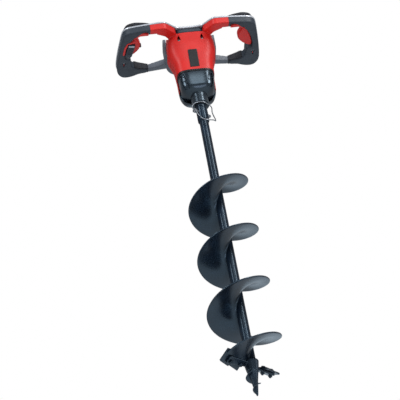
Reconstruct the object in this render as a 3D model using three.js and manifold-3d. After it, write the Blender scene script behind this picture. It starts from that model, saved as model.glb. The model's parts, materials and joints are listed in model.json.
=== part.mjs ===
// Cordless auger powerhead with a 150 mm spiral drill, as separate pieces on their joints.
// Millimetres, +Z up along the drill axis. The origin is on that axis, midway between the two grips.
// The drill hangs below: its point is TIP below the origin. -Y is the front, where the arms join.
import * as THREE from "three";
import { mergeVertices } from "three/addons/utils/BufferGeometryUtils.js";
import Module from "manifold-3d";

// ---- driving dimensions ----
const TIP = 1015; // from the grips down to the pilot point
const HANDLE_TILT = THREE.MathUtils.degToRad(10); // the handle plane rises towards the rear
const GAP = 0.3; // clearance between pieces that touch
const WALL = 3; // moulded shells
const LOWER_FACE = -15; // underside of the handles, in the handle plane
const STRIP_LOW = 1.5; // the trim strip between the lower and upper handle shells
const STRIP_HIGH = 5.7;
const COVER_HIGH = 19; // top of the palm covers
const PARTING = 12; // the front and rear housings meet at this Y

const FLIGHT_RADIUS = 75;
const FLIGHT_PITCH = 140;
const FLIGHT_THICK = 3.2;
const FLIGHT_FIRST = -134; // degrees round the axis where the flight starts, at FLIGHT_LOW
const FLIGHT_TURNS = 3.59;
const FLIGHT_LOW = 78.8 - TIP;
const TUBE_RADIUS = 11;
const SLEEVE_RADIUS = 14;
const SLEEVE_LOW = 747 - TIP;
const HUB_LOW = 796 - TIP;
const PIN_HEIGHT = 772 - TIP;
const PIN_ANGLE = THREE.MathUtils.degToRad(37); // the cross pin points this far round from +X
const PIN_RADIUS = 4;

const MODULE = 1.6; // gear tooth module, both planetary stages
const SUN_TEETH = 9;
const PLANET_TEETH = 12;
const RING_TEETH = 33;
const PLANETS = 3;
const PLANET_ORBIT = (MODULE * (SUN_TEETH + PLANET_TEETH)) / 2;
const STAGES = [
  { name: "second", low: 850 - TIP, high: 863 - TIP }, // output stage
  { name: "first", low: 879 - TIP, high: 890 - TIP }, // motor stage
];

const COLOURS = {
  red: { color: 0xd8322c, roughness: 0.42, metalness: 0 },
  grey: { color: 0x6b7078, roughness: 0.5, metalness: 0 },
  slate: { color: 0x47505a, roughness: 0.65, metalness: 0 },
  black: { color: 0x16181c, roughness: 0.3, metalness: 0 },
  rubber: { color: 0x1d1f23, roughness: 0.8, metalness: 0 },
  silver: { color: 0xc9ccd2, roughness: 0.35, metalness: 0.6 },
  coated: { color: 0x1c222a, roughness: 0.28, metalness: 0.3 },
  steel: { color: 0xb8bcc2, roughness: 0.3, metalness: 1 },
  copper: { color: 0xb87333, roughness: 0.4, metalness: 1 },
  board: { color: 0x1f5a3a, roughness: 0.5, metalness: 0 },
};

// ---- solids: three.js makes every shape, manifold-3d only joins and cuts them ----
const wasm = await Module();
wasm.setup();

function solid(geometry, matrix) {
  const plain = geometry.index ? geometry.toNonIndexed() : geometry.clone();
  plain.deleteAttribute("normal");
  plain.deleteAttribute("uv");
  if (matrix) plain.applyMatrix4(matrix);
  const merged = mergeVertices(plain, 1e-4);
  return new wasm.Manifold(
    new wasm.Mesh({
      numProp: 3,
      vertProperties: merged.attributes.position.array,
      triVerts: new Uint32Array(merged.index.array),
    }),
  );
}

function geometryOf(body) {
  const mesh = body.getMesh();
  const geometry = new THREE.BufferGeometry();
  geometry.setAttribute("position", new THREE.BufferAttribute(new Float32Array(mesh.vertProperties), 3));
  geometry.setIndex(new THREE.BufferAttribute(new Uint32Array(mesh.triVerts), 1));
  return geometry;
}

const at = (x, y, z) => new THREE.Matrix4().makeTranslation(x, y, z);
const turned = (axis, angle) => new THREE.Matrix4().makeRotationAxis(axis, angle);
const X_AXIS = new THREE.Vector3(1, 0, 0);
const Y_AXIS = new THREE.Vector3(0, 1, 0);
const Z_AXIS = new THREE.Vector3(0, 0, 1);

const box = (x0, x1, y0, y1, z0, z1) =>
  solid(new THREE.BoxGeometry(x1 - x0, y1 - y0, z1 - z0), at((x0 + x1) / 2, (y0 + y1) / 2, (z0 + z1) / 2));

// An upright cylinder on the drill axis, or moved to (x, y).
const rod = (radius, z0, z1, x = 0, y = 0, sides = 24) =>
  solid(
    new THREE.CylinderGeometry(radius, radius, z1 - z0, sides),
    at(x, y, (z0 + z1) / 2).multiply(turned(X_AXIS, Math.PI / 2)),
  );

const ring = (outer, inner, z0, z1, sides = 24) => rod(outer, z0, z1, 0, 0, sides).subtract(
  rod(inner, z0 - 1, z1 + 1, 0, 0, sides));

// The points of a closed outline moved inwards; the outline runs anticlockwise.
function inset(points, distance) {
  const count = points.length;
  const normal = (i) => {
    const [a, b] = [points[(i + count) % count], points[(i + 1) % count]];
    const length = Math.hypot(b[0] - a[0], b[1] - a[1]);
    return [(a[1] - b[1]) / length, (b[0] - a[0]) / length];
  };
  return points.map(([x, y], i) => {
    const [before, after] = [normal(i - 1), normal(i)];
    const stretch = distance / Math.max(1 + before[0] * after[0] + before[1] * after[1], 0.5);
    return [x + (before[0] + after[0]) * stretch, y + (before[1] + after[1]) * stretch];
  });
}

const anticlockwise = (points) =>
  THREE.ShapeUtils.area(points.map(([x, y]) => new THREE.Vector2(x, y))) < 0 ? [...points].reverse() : points;

// A closed skin through anticlockwise outlines of equal length, each at its own height.
function skin(outlines, heights) {
  const count = outlines[0].length;
  const vertices = outlines.flatMap((points, k) => points.flatMap(([x, y]) => [x, y, heights[k]]));
  const triangles = [];
  for (let k = 0; k + 1 < outlines.length; k++) {
    for (let i = 0; i < count; i++) {
      const [a, b] = [k * count + i, k * count + ((i + 1) % count)];
      triangles.push(a, b, b + count, a, b + count, a + count);
    }
  }
  const flat = (points) => points.map(([x, y]) => new THREE.Vector2(x, y));
  const lid = (k) => THREE.ShapeUtils.triangulateShape(flat(outlines[k]), [])
    .map((corners) => corners.map((i) => k * count + i));
  const last = outlines.length - 1;
  for (const [a, b, c] of lid(0)) triangles.push(a, c, b);
  for (const [a, b, c] of lid(last)) triangles.push(a, b, c);
  const geometry = new THREE.BufferGeometry();
  geometry.setAttribute("position", new THREE.BufferAttribute(new Float32Array(vertices), 3));
  geometry.setIndex(triangles);
  return solid(geometry);
}

function prism(points, z0, z1) {
  const outline = anticlockwise(points);
  return skin([outline, outline], [z0, z1]);
}

function bevelled(points, z0, z1, bevel) {
  const full = anticlockwise(points);
  const small = inset(full, bevel);
  return skin([small, full, full, small], [z0, z0 + bevel, z1 - bevel, z1]);
}

const mirrored = (points) => points.map(([x, y]) => [-x, y]).reverse();

// The points of an open line, moved sideways: positive is to the right of its direction.
function offsetLine(points, distance) {
  const normals = points.slice(1).map(([x, y], i) => {
    const [dx, dy] = [x - points[i][0], y - points[i][1]];
    const length = Math.hypot(dx, dy);
    return [dy / length, -dx / length];
  });
  return points.map(([x, y], i) => {
    const before = normals[Math.max(i - 1, 0)];
    const after = normals[Math.min(i, normals.length - 1)];
    const stretch = distance / (1 + before[0] * after[0] + before[1] * after[1]);
    return [x + (before[0] + after[0]) * stretch, y + (before[1] + after[1]) * stretch];
  });
}

// A closed skin through level sections: each has a half width, a front and a rear depth and a height.
const SECTION_POINTS = 36;
const SQUARENESS = 3.8; // 2 is an ellipse, higher is boxier
function loft(sections, thickness = 0) {
  const outlines = sections.map(({ half, front, rear }) => {
    const points = [];
    for (let i = 0; i < SECTION_POINTS; i++) {
      const angle = (2 * Math.PI * i) / SECTION_POINTS;
      const [c, s] = [Math.cos(angle), Math.sin(angle)];
      const depth = (s < 0 ? front : rear) - thickness;
      points.push([
        (half - thickness) * Math.sign(c) * Math.abs(c) ** (2 / SQUARENESS),
        depth * Math.sign(s) * Math.abs(s) ** (2 / SQUARENESS),
      ]);
    }
    return points;
  });
  return skin(outlines, sections.map(({ z }) => z));
}

// ---- the exported group ----
const auger = new THREE.Group();
const handles = new THREE.Group(); // everything laid out in the tilted handle plane
handles.rotation.x = HANDLE_TILT;
auger.add(handles);
const fromHandles = turned(X_AXIS, HANDLE_TILT);
const tilt = (body) => body.transform(fromHandles.elements);

function piece(name, look, body, parent = auger) {
  const mesh = new THREE.Mesh(geometryOf(body), new THREE.MeshStandardMaterial(COLOURS[look]));
  mesh.name = name;
  parent.add(mesh);
  return mesh;
}

// ---- handle outlines, right side, in the handle plane ----
const BAR_REAR = -67;
const RED_END = 98; // the red arms stop and the grip starts
const SLEEVE_END = 105; // the rubber sleeve on the rear bar stops and the rear arm starts
const OUTER_EDGE = [
  [RED_END, -90.5],
  [122, -87],
  [150, -83],
  [160, -78],
  [166, -69],
  [170, -50],
  [175, -20],
  [180, 12],
  [185, 50],
  [187, 78],
  [184, 97],
  [175, 110],
  [163, 113],
  [147, 110],
  [131, 101],
  [SLEEVE_END + 1, 98],
];
const INNER_EDGE = [
  [SLEEVE_END + 1, 82],
  [130, 79],
  [143, 70],
  [149, 58],
  [149, 30],
  [164, 28],
  [163, 4],
  [155, -28],
  [144, -52],
  [124, BAR_REAR],
  [RED_END, BAR_REAR],
];
const ARM_FRONT = [
  [0, -62],
  [24, -62.5],
  [36, -66.5],
  [58, -89.5],
  [64, -92],
  [74, -92],
  [RED_END - GAP, -90.5],
];
const ARM_REAR = [
  [RED_END - GAP, BAR_REAR],
  [80, BAR_REAR],
  [62, -56],
  [50, -38],
];

// ---- trim strip: one bright band along the front edge and round both grips ----
const STRIP_PROUD = 1.5;
const STRIP_DEPTH = 7;
function stripOutline(grow) {
  const edge = [...ARM_FRONT.slice(0, -1), ...OUTER_EDGE.slice(1, 11)];
  const whole = [...mirrored(edge).slice(0, -1), ...edge];
  const proud = offsetLine(whole, STRIP_PROUD + grow);
  const buried = offsetLine(whole, -STRIP_DEPTH - grow);
  return [...proud, ...buried.reverse()];
}
const strip = prism(stripOutline(0), STRIP_LOW, STRIP_HIGH);
const stripSeat = prism(stripOutline(GAP), STRIP_LOW - GAP, STRIP_HIGH + GAP);
piece("trim_strip", "silver", strip, handles);

// ---- triggers and what they sit in ----
const TRIGGER_INNER = [
  [142, -59],
  [136, -57],
  [129, -43],
  [123, -25],
  [126, -8],
  [136, 7],
  [146, 17],
  [156, 22.5],
];
const TRIGGER_OUTER = [
  [163, 22],
  [162, 4],
  [155, -27],
];
const TRIGGER_TRAVEL = 5; // outwards, into the grip
const TRIGGER_LOW = -11;
const TRIGGER_HIGH = 4;
const LOCK_Y = -16;
const LOCK_HEIGHT = -4.6;
const LOCK_RADIUS = 5.8;
const LOCK_TRAVEL = 3;
const trigger = bevelled([...TRIGGER_INNER, ...TRIGGER_OUTER], TRIGGER_LOW, TRIGGER_HIGH, 2.5);
const pressed = [...TRIGGER_OUTER, TRIGGER_INNER[0]].map(([x, y]) => [x + TRIGGER_TRAVEL + 0.7, y]);
const triggerRoom = prism(inset(anticlockwise([...TRIGGER_INNER, ...pressed]), -GAP - 0.1), TRIGGER_LOW - GAP,
  TRIGGER_HIGH + GAP);

// A cylinder lying along X, in the handle frame.
const crossRod = (radius, x0, x1, y, height, sides = 16) =>
  solid(
    new THREE.CylinderGeometry(radius, radius, x1 - x0, sides),
    at((x0 + x1) / 2, y, height).multiply(turned(Z_AXIS, Math.PI / 2)),
  );

// The forward-reverse slider lies under the left trigger and runs along it.
const SLIDER = [[-154, -36], [-136.5, -33], [-147.5, 16], [-165, 16]];
const SLIDER_TRAVEL = 3; // to either side of the middle, which is off
const sliderMoved = (distance) => SLIDER.map(([x, y]) => [x, y + distance]);
const slider = bevelled(SLIDER, LOWER_FACE - 2.5, TRIGGER_LOW - GAP, 1);
const sliderRoom = [-SLIDER_TRAVEL, 0, SLIDER_TRAVEL]
  .map((move) => prism(inset(anticlockwise(sliderMoved(move)), -0.8), LOWER_FACE - 5, TRIGGER_LOW))
  .reduce((a, b) => a.add(b));

// ---- grips: a hollow lower shell, a palm cover on top, a rubber sleeve on the rear bar ----
const SLEEVE = [
  [SLEEVE_END, 99.5],
  [SLEEVE_END, 80.5],
  [129, 77],
  [141, 69],
  [147, 76],
  [143, 92],
  [131, 99.5],
];
const SLEEVE_LOW_FACE = LOWER_FACE + 2;
const sleeve = bevelled(SLEEVE, SLEEVE_LOW_FACE, 9, 3);
// The tops of the sleeve and of the rear arm fall and rise along the bar.
const slopedCut = (x0, height0, x1, height1) => solid(
  new THREE.BoxGeometry(400, 400, 100),
  at(x0, 0, height0).multiply(turned(Y_AXIS, -Math.atan2(height1 - height0, x1 - x0))).multiply(at(0, 0, 50)),
);
const rightSleeve = sleeve.subtract(slopedCut(SLEEVE_END, 2, 147, 12));
const sleeveRoom = prism(inset(anticlockwise(SLEEVE), -0.4), SLEEVE_LOW_FACE - 0.4, 14);

const SCREW = { x: 167, y: 46, head: 4.2 };
const screwBoss = rod(7, LOWER_FACE + 1, STRIP_HIGH - 1, SCREW.x, SCREW.y, 12);
const screwHole = rod(SCREW.head + 0.4, LOWER_FACE - 1, LOWER_FACE + 4, SCREW.x, SCREW.y, 12);
const gripScrew = rod(SCREW.head, LOWER_FACE + 1.2, LOWER_FACE + 3.6, SCREW.x, SCREW.y, 12);
const SWITCH = { x0: 169, x1: 174, y0: -12, y1: 14, low: -10, high: 1 };
const switchRoom = box(SWITCH.x0 - 1, SWITCH.x1 + 1, SWITCH.y0 - 1, SWITCH.y1 + 1, SWITCH.low - 1,
  STRIP_HIGH + 1);

function lowerGrip() {
  const outer = bevelled([...OUTER_EDGE, ...INNER_EDGE], LOWER_FACE, STRIP_HIGH, 3);
  const frontRoom = prism([[RED_END + 3, -86], [148, -79], [157, -74], [159, -68], [150, -66], [128, -73],
    [RED_END + 3, -72]], LOWER_FACE + WALL, STRIP_HIGH + 1);
  const rearRoom = prism([[153, 66], [154, 34], [176, 34], [180, 70], [178, 92], [162, 104], [153, 100]],
    LOWER_FACE + WALL, STRIP_HIGH + 1);
  return outer.subtract(frontRoom).subtract(rearRoom).add(screwBoss).subtract(screwHole)
    .subtract(triggerRoom).subtract(switchRoom).subtract(stripSeat).subtract(sleeveRoom);
}

const COVER = [
  [88, -84],
  [100, -87],
  [133, -86],
  [147, -83],
  [156, -78],
  [162, -67],
  [166, -50],
  [171, -20],
  [176, 12],
  [181, 50],
  [183.5, 76],
  [180, 94],
  [172, 105],
  [152, 104],
  [150, 60],
  [150, 28],
  [158, 20],
  [154, -28],
  [142, -56],
  [126, -68],
  [88, -72],
];
const COVER_BEVEL = 4;
function palmCover() {
  const full = bevelled(COVER, STRIP_HIGH + GAP, COVER_HIGH, COVER_BEVEL);
  return full.subtract(slopedCut(88, STRIP_HIGH + 2, 140, COVER_HIGH));
}

const rightGrip = lowerGrip();
const rightCover = palmCover().subtract(sleeveRoom);
const rightSwitch = box(SWITCH.x0, SWITCH.x1, SWITCH.y0, SWITCH.y1, SWITCH.low, SWITCH.high);
const sides = { right: (body) => body, left: (body) => body.mirror([1, 0, 0]) };
for (const [side, place] of Object.entries(sides)) {
  const grip = side === "left" ? place(rightGrip).subtract(sliderRoom) : rightGrip;
  piece(side + "_grip", "slate", grip, handles);
  piece(side + "_palm_cover", "rubber", place(rightCover), handles);
  piece(side + "_rear_sleeve", "rubber", place(rightSleeve), handles);
  piece(side + "_grip_screw", "steel", place(gripScrew), handles);
  piece(side + "_switch", "black", place(rightSwitch), handles);
}
const lockBore = crossRod(LOCK_RADIUS + 0.5, -143, -110, LOCK_Y, LOCK_HEIGHT);
piece("right_trigger", "red", trigger, handles);
piece("left_trigger", "red", trigger.mirror([1, 0, 0]).subtract(lockBore), handles);
piece("lock_button", "black", crossRod(LOCK_RADIUS, -137, -121.5, LOCK_Y, LOCK_HEIGHT), handles);
piece("direction_slider", "slate", slider, handles);

// ---- housings: level sections, heights measured from the drill point ----
const z = (aboveTip) => aboveTip - TIP;
const FRONT_SECTIONS = [
  { z: z(887), half: 47.5, front: 37, rear: 40 },
  { z: z(904), half: 48.5, front: 38.5, rear: 40 },
  { z: z(920), half: 50.5, front: 40, rear: 40 },
  { z: z(936), half: 55.5, front: 42, rear: 40 },
  { z: z(952), half: 60, front: 45, rear: 40 },
  { z: z(968), half: 61.5, front: 49, rear: 40 },
  { z: z(982), half: 61, front: 54, rear: 40 },
  { z: z(994), half: 58, front: 58.5, rear: 40 },
];
const REAR_SECTIONS = [
  { z: z(816), half: 22, front: 22, rear: 22 },
  { z: z(824), half: 35, front: 34, rear: 35 },
  { z: z(836), half: 42.5, front: 40, rear: 42 },
  { z: z(852), half: 46, front: 40, rear: 45 },
  { z: z(905), half: 47, front: 40, rear: 46 },
  { z: z(932), half: 49, front: 40, rear: 47 },
  { z: z(948), half: 52.5, front: 40, rear: 51.5 },
  { z: z(962), half: 62, front: 40, rear: 62 },
  { z: z(984), half: 65.5, front: 40, rear: 82 },
  { z: z(1040), half: 66, front: 40, rear: 92 },
];
const CASE_SECTIONS = [
  { z: z(826), half: 25, front: 23, rear: 23 },
  { z: z(831), half: 33, front: 28, rear: 32 },
  { z: z(840), half: 40, front: 33.5, rear: 39 },
  { z: z(852), half: 43, front: 35.5, rear: 42 },
  { z: z(879.5), half: 44, front: 37, rear: 43.5 },
  { z: z(880.5), half: 43, front: 34.6, rear: 43.5 },
  { z: z(905), half: 43, front: 34.6, rear: 43.5 },
];
const HUB = { radius: 21.5, top: z(832), bearingSeat: 17.3, neck: 13 };
const levelCut = (sections, from, to) => loft([{ ...sections[0], z: from }, ...sections.slice(1, -1),
  { ...sections.at(-1), z: to }], WALL);
const infront = box(-200, 200, -300, PARTING, -400, 200);
const caseRoom = loft(CASE_SECTIONS.map((s) => ({ ...s, z: s.z - (s === CASE_SECTIONS[0] ? 1 : 0) })), -GAP);

// The battery seat lies in the handle plane, on top between the arms.
const DOCK = { half: 50, front: -60, rear: 82, low: -10, deck: 9, rail: 17 };
const dockOutline = (grow) => [
  [-DOCK.half - grow, DOCK.rear + grow], [-DOCK.half - grow, -40 - grow], [-28 - grow, DOCK.front - grow],
  [28 + grow, DOCK.front - grow], [DOCK.half + grow, -40 - grow], [DOCK.half + grow, DOCK.rear + grow],
];
const dockRoom = tilt(prism(dockOutline(GAP), DOCK.low - GAP, 80));
const RAILS = { front: -30, rear: 74, outer: 44, stem: 36, lip: 31, lipThick: 4 };
const rail = box(RAILS.stem, RAILS.outer, RAILS.front, RAILS.rear, DOCK.deck - 1, DOCK.rail)
  .add(box(RAILS.lip, RAILS.outer, RAILS.front, RAILS.rear, DOCK.rail - RAILS.lipThick, DOCK.rail));
const dockRails = rail.add(rail.mirror([1, 0, 0]));
const TERMINALS = { half: 17, y0: 44, y1: 62 };
const dock = bevelled(dockOutline(0), DOCK.low, DOCK.deck, 2)
  .subtract(prism(inset(anticlockwise(dockOutline(0)), WALL), DOCK.low - 1, DOCK.deck - WALL))
  .subtract(box(-TERMINALS.half - GAP, TERMINALS.half + GAP, TERMINALS.y0 - GAP, TERMINALS.y1 + GAP, 0, 20))
  .add(dockRails).subtract(stripSeat);
piece("battery_dock", "slate", dock, handles);
const terminalBlock = box(-TERMINALS.half, TERMINALS.half, TERMINALS.y0, TERMINALS.y1, 1, DOCK.deck + 3)
  .subtract(box(-12, -9, TERMINALS.y0 - 2, TERMINALS.y1 - 4, DOCK.deck - 1, 20))
  .subtract(box(9, 12, TERMINALS.y0 - 2, TERMINALS.y1 - 4, DOCK.deck - 1, 20));
piece("terminal_block", "black", terminalBlock, handles);
for (const [name, x] of [["left_terminal_blade", -10.5], ["right_terminal_blade", 10.5]]) {
  const blade = box(x - 0.6, x + 0.6, TERMINALS.y0 + 1, TERMINALS.y1 - 6, DOCK.deck - 1 + GAP,
    DOCK.deck + 2.5);
  piece(name, "steel", blade, handles);
}

const armOutline = [...ARM_FRONT.slice(2), ...ARM_REAR, [30, -38]];
const rightArm = bevelled(armOutline, LOWER_FACE, STRIP_HIGH, 2.5);
const armPair = tilt(rightArm.add(rightArm.mirror([1, 0, 0])).subtract(stripSeat));
const HOUSING_SCREW = { x: 29, height: z(978), head: 4 };
const faceRod = (radius, x, height, y0, y1, sides = 12) =>
  solid(new THREE.CylinderGeometry(radius, radius, y1 - y0, sides), at(x, (y0 + y1) / 2, height));
let frontHousing = loft(FRONT_SECTIONS).intersect(infront).add(armPair.intersect(infront))
  .subtract(levelCut(FRONT_SECTIONS, z(870), z(1060))).subtract(dockRoom).subtract(caseRoom);
for (const x of [-HOUSING_SCREW.x, HOUSING_SCREW.x]) {
  const screwPost = faceRod(7, x, HOUSING_SCREW.height, -49, -36).intersect(loft(FRONT_SECTIONS));
  frontHousing = frontHousing.add(screwPost)
    .subtract(faceRod(HOUSING_SCREW.head + 0.5, x, HOUSING_SCREW.height, -80, -46));
}
// A narrow tongue of the shell runs down each side of the gear case.
const TONGUE = { low: z(850), high: z(890), front: 4.6, tipHalf: 46, half: 47.5, wall: 2.5 };
const tongueBand = box(-TONGUE.half, TONGUE.half, TONGUE.front, PARTING, TONGUE.low, TONGUE.high);
const tongueHollow = TONGUE.half - TONGUE.wall;
const tongues = loft([{ z: TONGUE.low, half: TONGUE.tipHalf, front: 37, rear: 40 },
  { z: TONGUE.high, half: TONGUE.half, front: 37, rear: 40 }]).intersect(tongueBand)
  .subtract(box(-tongueHollow, tongueHollow, -40, 40, TONGUE.low - 1, TONGUE.high - 3))
  .subtract(levelCut(FRONT_SECTIONS, z(870), z(1060)));
frontHousing = frontHousing.add(tongues.subtract(caseRoom));
// Cooling slots on both flanks of the red shell.
const VENTS = { count: 6, first: z(897), step: 7.5, height: 3.2, y0: -14, y1: 4 };
for (let i = 0; i < VENTS.count; i++) {
  const low = VENTS.first + i * VENTS.step;
  frontHousing = frontHousing.subtract(box(-80, 80, VENTS.y0, VENTS.y1, low, low + VENTS.height));
}
// The blank nameplate lies in a recess of the sloping front face.
const PLATE = { low: z(894), high: z(947), half: 11.3, thick: 1.4 };
const plateLean = Math.atan2(45 - 38.2, 952 - 900);
const plateFrame = at(0, -41.1, (PLATE.low + PLATE.high) / 2).multiply(turned(X_AXIS, plateLean));
const plateSolid = (grow) => solid(new THREE.BoxGeometry(2 * (PLATE.half + grow), PLATE.thick + 2 * grow,
  PLATE.high - PLATE.low + 2 * grow), plateFrame);
frontHousing = frontHousing.subtract(plateSolid(GAP));
piece("front_housing", "red", frontHousing);
piece("nameplate", "black", plateSolid(0));
for (const [name, side] of [["left_housing_screw", -1], ["right_housing_screw", 1]]) {
  const { x, height, head } = HOUSING_SCREW;
  piece(name, "steel", faceRod(head, side * x, height, -48.5, -46.4));
}

const REAR_ARM_END = SLEEVE_END - GAP - 0.1;
const REAR_ARM = [[REAR_ARM_END, 98], [66, 93], [36, 90], [36, 68], [60, 72], [REAR_ARM_END, 82]];
const rearArm = bevelled(REAR_ARM, LOWER_FACE + 2, STRIP_HIGH + 2, 3)
  .subtract(slopedCut(60, STRIP_HIGH + 1, 105, 1));
const topCut = tilt(prism([[-200, -200], [200, -200], [200, 200], [-200, 200]], STRIP_HIGH, 300));
const rearOpen = levelCut(REAR_SECTIONS, z(819), z(1080));
const aroundFront = loft([{ ...FRONT_SECTIONS[3], z: z(940) }, ...FRONT_SECTIONS.slice(4),
  { ...FRONT_SECTIONS.at(-1), z: z(1080) }], -GAP);
const flange = loft(REAR_SECTIONS).intersect(box(-200, 200, -15, PARTING + 2, z(958), 200))
  .subtract(aroundFront).subtract(topCut);
const rearHousing = loft(REAR_SECTIONS).subtract(topCut)
  .add(tilt(rearArm.add(rearArm.mirror([1, 0, 0]))))
  .subtract(rearOpen).intersect(box(-200, 200, PARTING + GAP, 300, -400, 200)).add(flange)
  .subtract(rod(HUB.radius + 1, z(790), z(842))).subtract(dockRoom).subtract(caseRoom).subtract(armPair);
piece("rear_housing", "grey", rearHousing);

// ---- gear case, its collar and the output hub ----
const GEAR_BORE = 31;
const gearCase = loft(CASE_SECTIONS).add(rod(HUB.radius, HUB_LOW, HUB.top, 0, 0, 32))
  .subtract(rod(HUB.bearingSeat, z(803), z(838)))
  .subtract(rod(HUB.neck, HUB_LOW - 1, z(850)))
  .subtract(rod(27, z(838), z(850)))
  .subtract(rod(GEAR_BORE, z(848.5), z(910)));
piece("gear_case", "black", gearCase);
const COLLAR_SECTIONS = [
  { z: z(881), half: 46, front: 37.6, rear: 40 },
  { z: z(886.5), half: 46, front: 37.6, rear: 40 },
];
let collar = loft(COLLAR_SECTIONS).subtract(loft(CASE_SECTIONS, -GAP))
  .intersect(box(-200, 200, -300, PARTING - 8, -400, 200));
const COLLAR_SLOTS = { count: 9, spacing: 6.4, width: 2.4 };
for (let i = 0; i < COLLAR_SLOTS.count; i++) {
  const x = (i - (COLLAR_SLOTS.count - 1) / 2) * COLLAR_SLOTS.spacing;
  const half = COLLAR_SLOTS.width / 2;
  collar = collar.subtract(box(x - half, x + half, -60, -36.2, z(882), z(885.5)));
}
piece("case_collar", "black", collar);

// ---- motor: can, stator, rotor on its shaft, bearings, fan ----
const SHAFT_RADIUS = 4;
const bearing = (outer, inner, low, high) => ring(outer, inner, low, high, 20);
const canWall = ring(34.4, 32.8, z(911), z(966), 28).add(ring(34.4, 11.4, z(965), z(972), 28));
piece("motor_can", "steel", canWall);
let stator = ring(32.4, 20, z(916), z(956), 24);
for (let i = 0; i < 6; i++) {
  const slot = box(19, 28, -2, 2, z(910), z(960));
  stator = stator.subtract(slot.transform(turned(Z_AXIS, (i * Math.PI) / 3).elements));
}
piece("motor_stator", "copper", stator);
piece("upper_motor_bearing", "steel", bearing(11, SHAFT_RADIUS + 0.3, z(965.5), z(971.5)));
const motorFlange = ring(34.2, 11.4, z(905.3), z(910.7), 28).add(ring(30.6, 20, z(893), z(906), 28));
piece("motor_flange", "steel", motorFlange);
piece("lower_motor_bearing", "steel", bearing(11, SHAFT_RADIUS + 0.3, z(904.5), z(910.5)));
piece("rotor_core", "steel", ring(19, SHAFT_RADIUS + 0.3, z(914), z(958), 16));
let fan = ring(10, SHAFT_RADIUS + 0.3, z(974.5), z(985), 12).add(ring(27, 9, z(974.5), z(976.5), 24));
const FAN_BLADES = 9;
for (let i = 0; i < FAN_BLADES; i++) {
  const turn = turned(Z_AXIS, (i * 2 * Math.PI) / FAN_BLADES);
  fan = fan.add(box(8, 26, -0.8, 0.8, z(975.5), z(984)).transform(turn.elements));
}
piece("cooling_fan", "black", fan);

// ---- two planetary stages in one ring gear ----
const ADDENDUM = 0.8 * MODULE;
const DEDENDUM = 1.05 * MODULE;
// A straight-sided tooth outline; inner gears pass a negative direction so that their teeth point inwards.
function toothOutline(teeth, direction, phase) {
  const pitchRadius = (teeth * MODULE) / 2;
  const step = (2 * Math.PI) / teeth;
  const tip = pitchRadius + direction * ADDENDUM;
  const root = pitchRadius - direction * DEDENDUM;
  const points = [];
  for (let i = 0; i < teeth; i++) {
    const middle = i * step + phase;
    for (const [radius, share] of [[root, -0.33], [tip, -0.12], [tip, 0.12], [root, 0.33]]) {
      points.push([radius * Math.cos(middle + share * step), radius * Math.sin(middle + share * step)]);
    }
  }
  return points;
}
const sunStep = (2 * Math.PI) / SUN_TEETH;
const planetStep = (2 * Math.PI) / PLANET_TEETH;
const ringStep = (2 * Math.PI) / RING_TEETH;
const gear = (teeth, phase, low, high) => prism(toothOutline(teeth, 1, phase), low, high);
// A planet at `angle` meshes with a sun whose tooth stands at angle 0: a planet gap faces each sun tooth.
const planetPhase = (angle) => angle + Math.PI + planetStep / 2 + (angle / sunStep) * planetStep;
// The ring's teeth must fall in the planet's gaps on the far side of the planet at angle 0.
const ringPhase = ringStep / 2 + (planetPhase(0) / planetStep) * ringStep;
const [second, first] = STAGES;
const ringBody = rod(30.6, second.low - 1.2, first.high + 1.5, 0, 0, 40)
  .subtract(prism(toothOutline(RING_TEETH, -1, ringPhase), second.low - 2, first.high + 3));
piece("ring_gear", "steel", ringBody);

const motorShaft = rod(SHAFT_RADIUS, first.low - 2, z(990), 0, 0, 16)
  .add(gear(SUN_TEETH, 0, first.low, first.high));
piece("motor_shaft", "steel", motorShaft);
const CARRIER_RADIUS = 24;
const PLANET_PIN = 2.6;
const planetAt = (i) => (i * 2 * Math.PI) / PLANETS;
const planetCentre = (i) => [PLANET_ORBIT * Math.cos(planetAt(i)), PLANET_ORBIT * Math.sin(planetAt(i))];
function carrierPins(low, high) {
  return Array.from({ length: PLANETS }, (_, i) => rod(PLANET_PIN, low, high, ...planetCentre(i), 12))
    .reduce((a, b) => a.add(b));
}
const firstCarrier = rod(CARRIER_RADIUS, z(870), z(876), 0, 0, 24).add(carrierPins(z(875), first.high))
  .add(gear(SUN_TEETH, 0, second.low, z(871)));
piece("first_carrier", "steel", firstCarrier);
const SPINDLE_RADIUS = 10;
const SPINDLE_LOW = z(758);
const pinFrame = at(0, 0, PIN_HEIGHT).multiply(turned(Z_AXIS, PIN_ANGLE));
const pinBore = crossRod(PIN_RADIUS + GAP, -40, 40, 0, 0, 16).transform(pinFrame.elements);
const outputCarrier = rod(CARRIER_RADIUS, z(840), z(847), 0, 0, 24).add(carrierPins(z(846), second.high))
  .add(rod(SPINDLE_RADIUS, SPINDLE_LOW, z(841), 0, 0, 24)).subtract(pinBore);
piece("output_spindle", "steel", outputCarrier);
for (const stage of STAGES) {
  for (let i = 0; i < PLANETS; i++) {
    const [x, y] = planetCentre(i);
    const planet = gear(PLANET_TEETH, planetPhase(planetAt(i)), stage.low + 0.6, stage.high)
      .subtract(rod(PLANET_PIN + GAP, stage.low - 1, stage.high + 1, 0, 0, 12));
    piece(stage.name + "_planet_" + (i + 1), "steel", planet.transform(at(x, y, 0).elements));
  }
}
piece("upper_output_bearing", "steel", bearing(17, SPINDLE_RADIUS + 0.3, z(829), z(837)));
piece("lower_output_bearing", "steel", bearing(17, SPINDLE_RADIUS + 0.3, z(804), z(812)));
piece("output_seal", "rubber", bearing(12.7, SPINDLE_RADIUS + 0.3, z(797), z(802)));
const BOARD = { half: 36, y0: 47, y1: 73, low: -24, high: -21 };
let board = box(-BOARD.half, BOARD.half, BOARD.y0, BOARD.y1, BOARD.low, BOARD.high);
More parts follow.
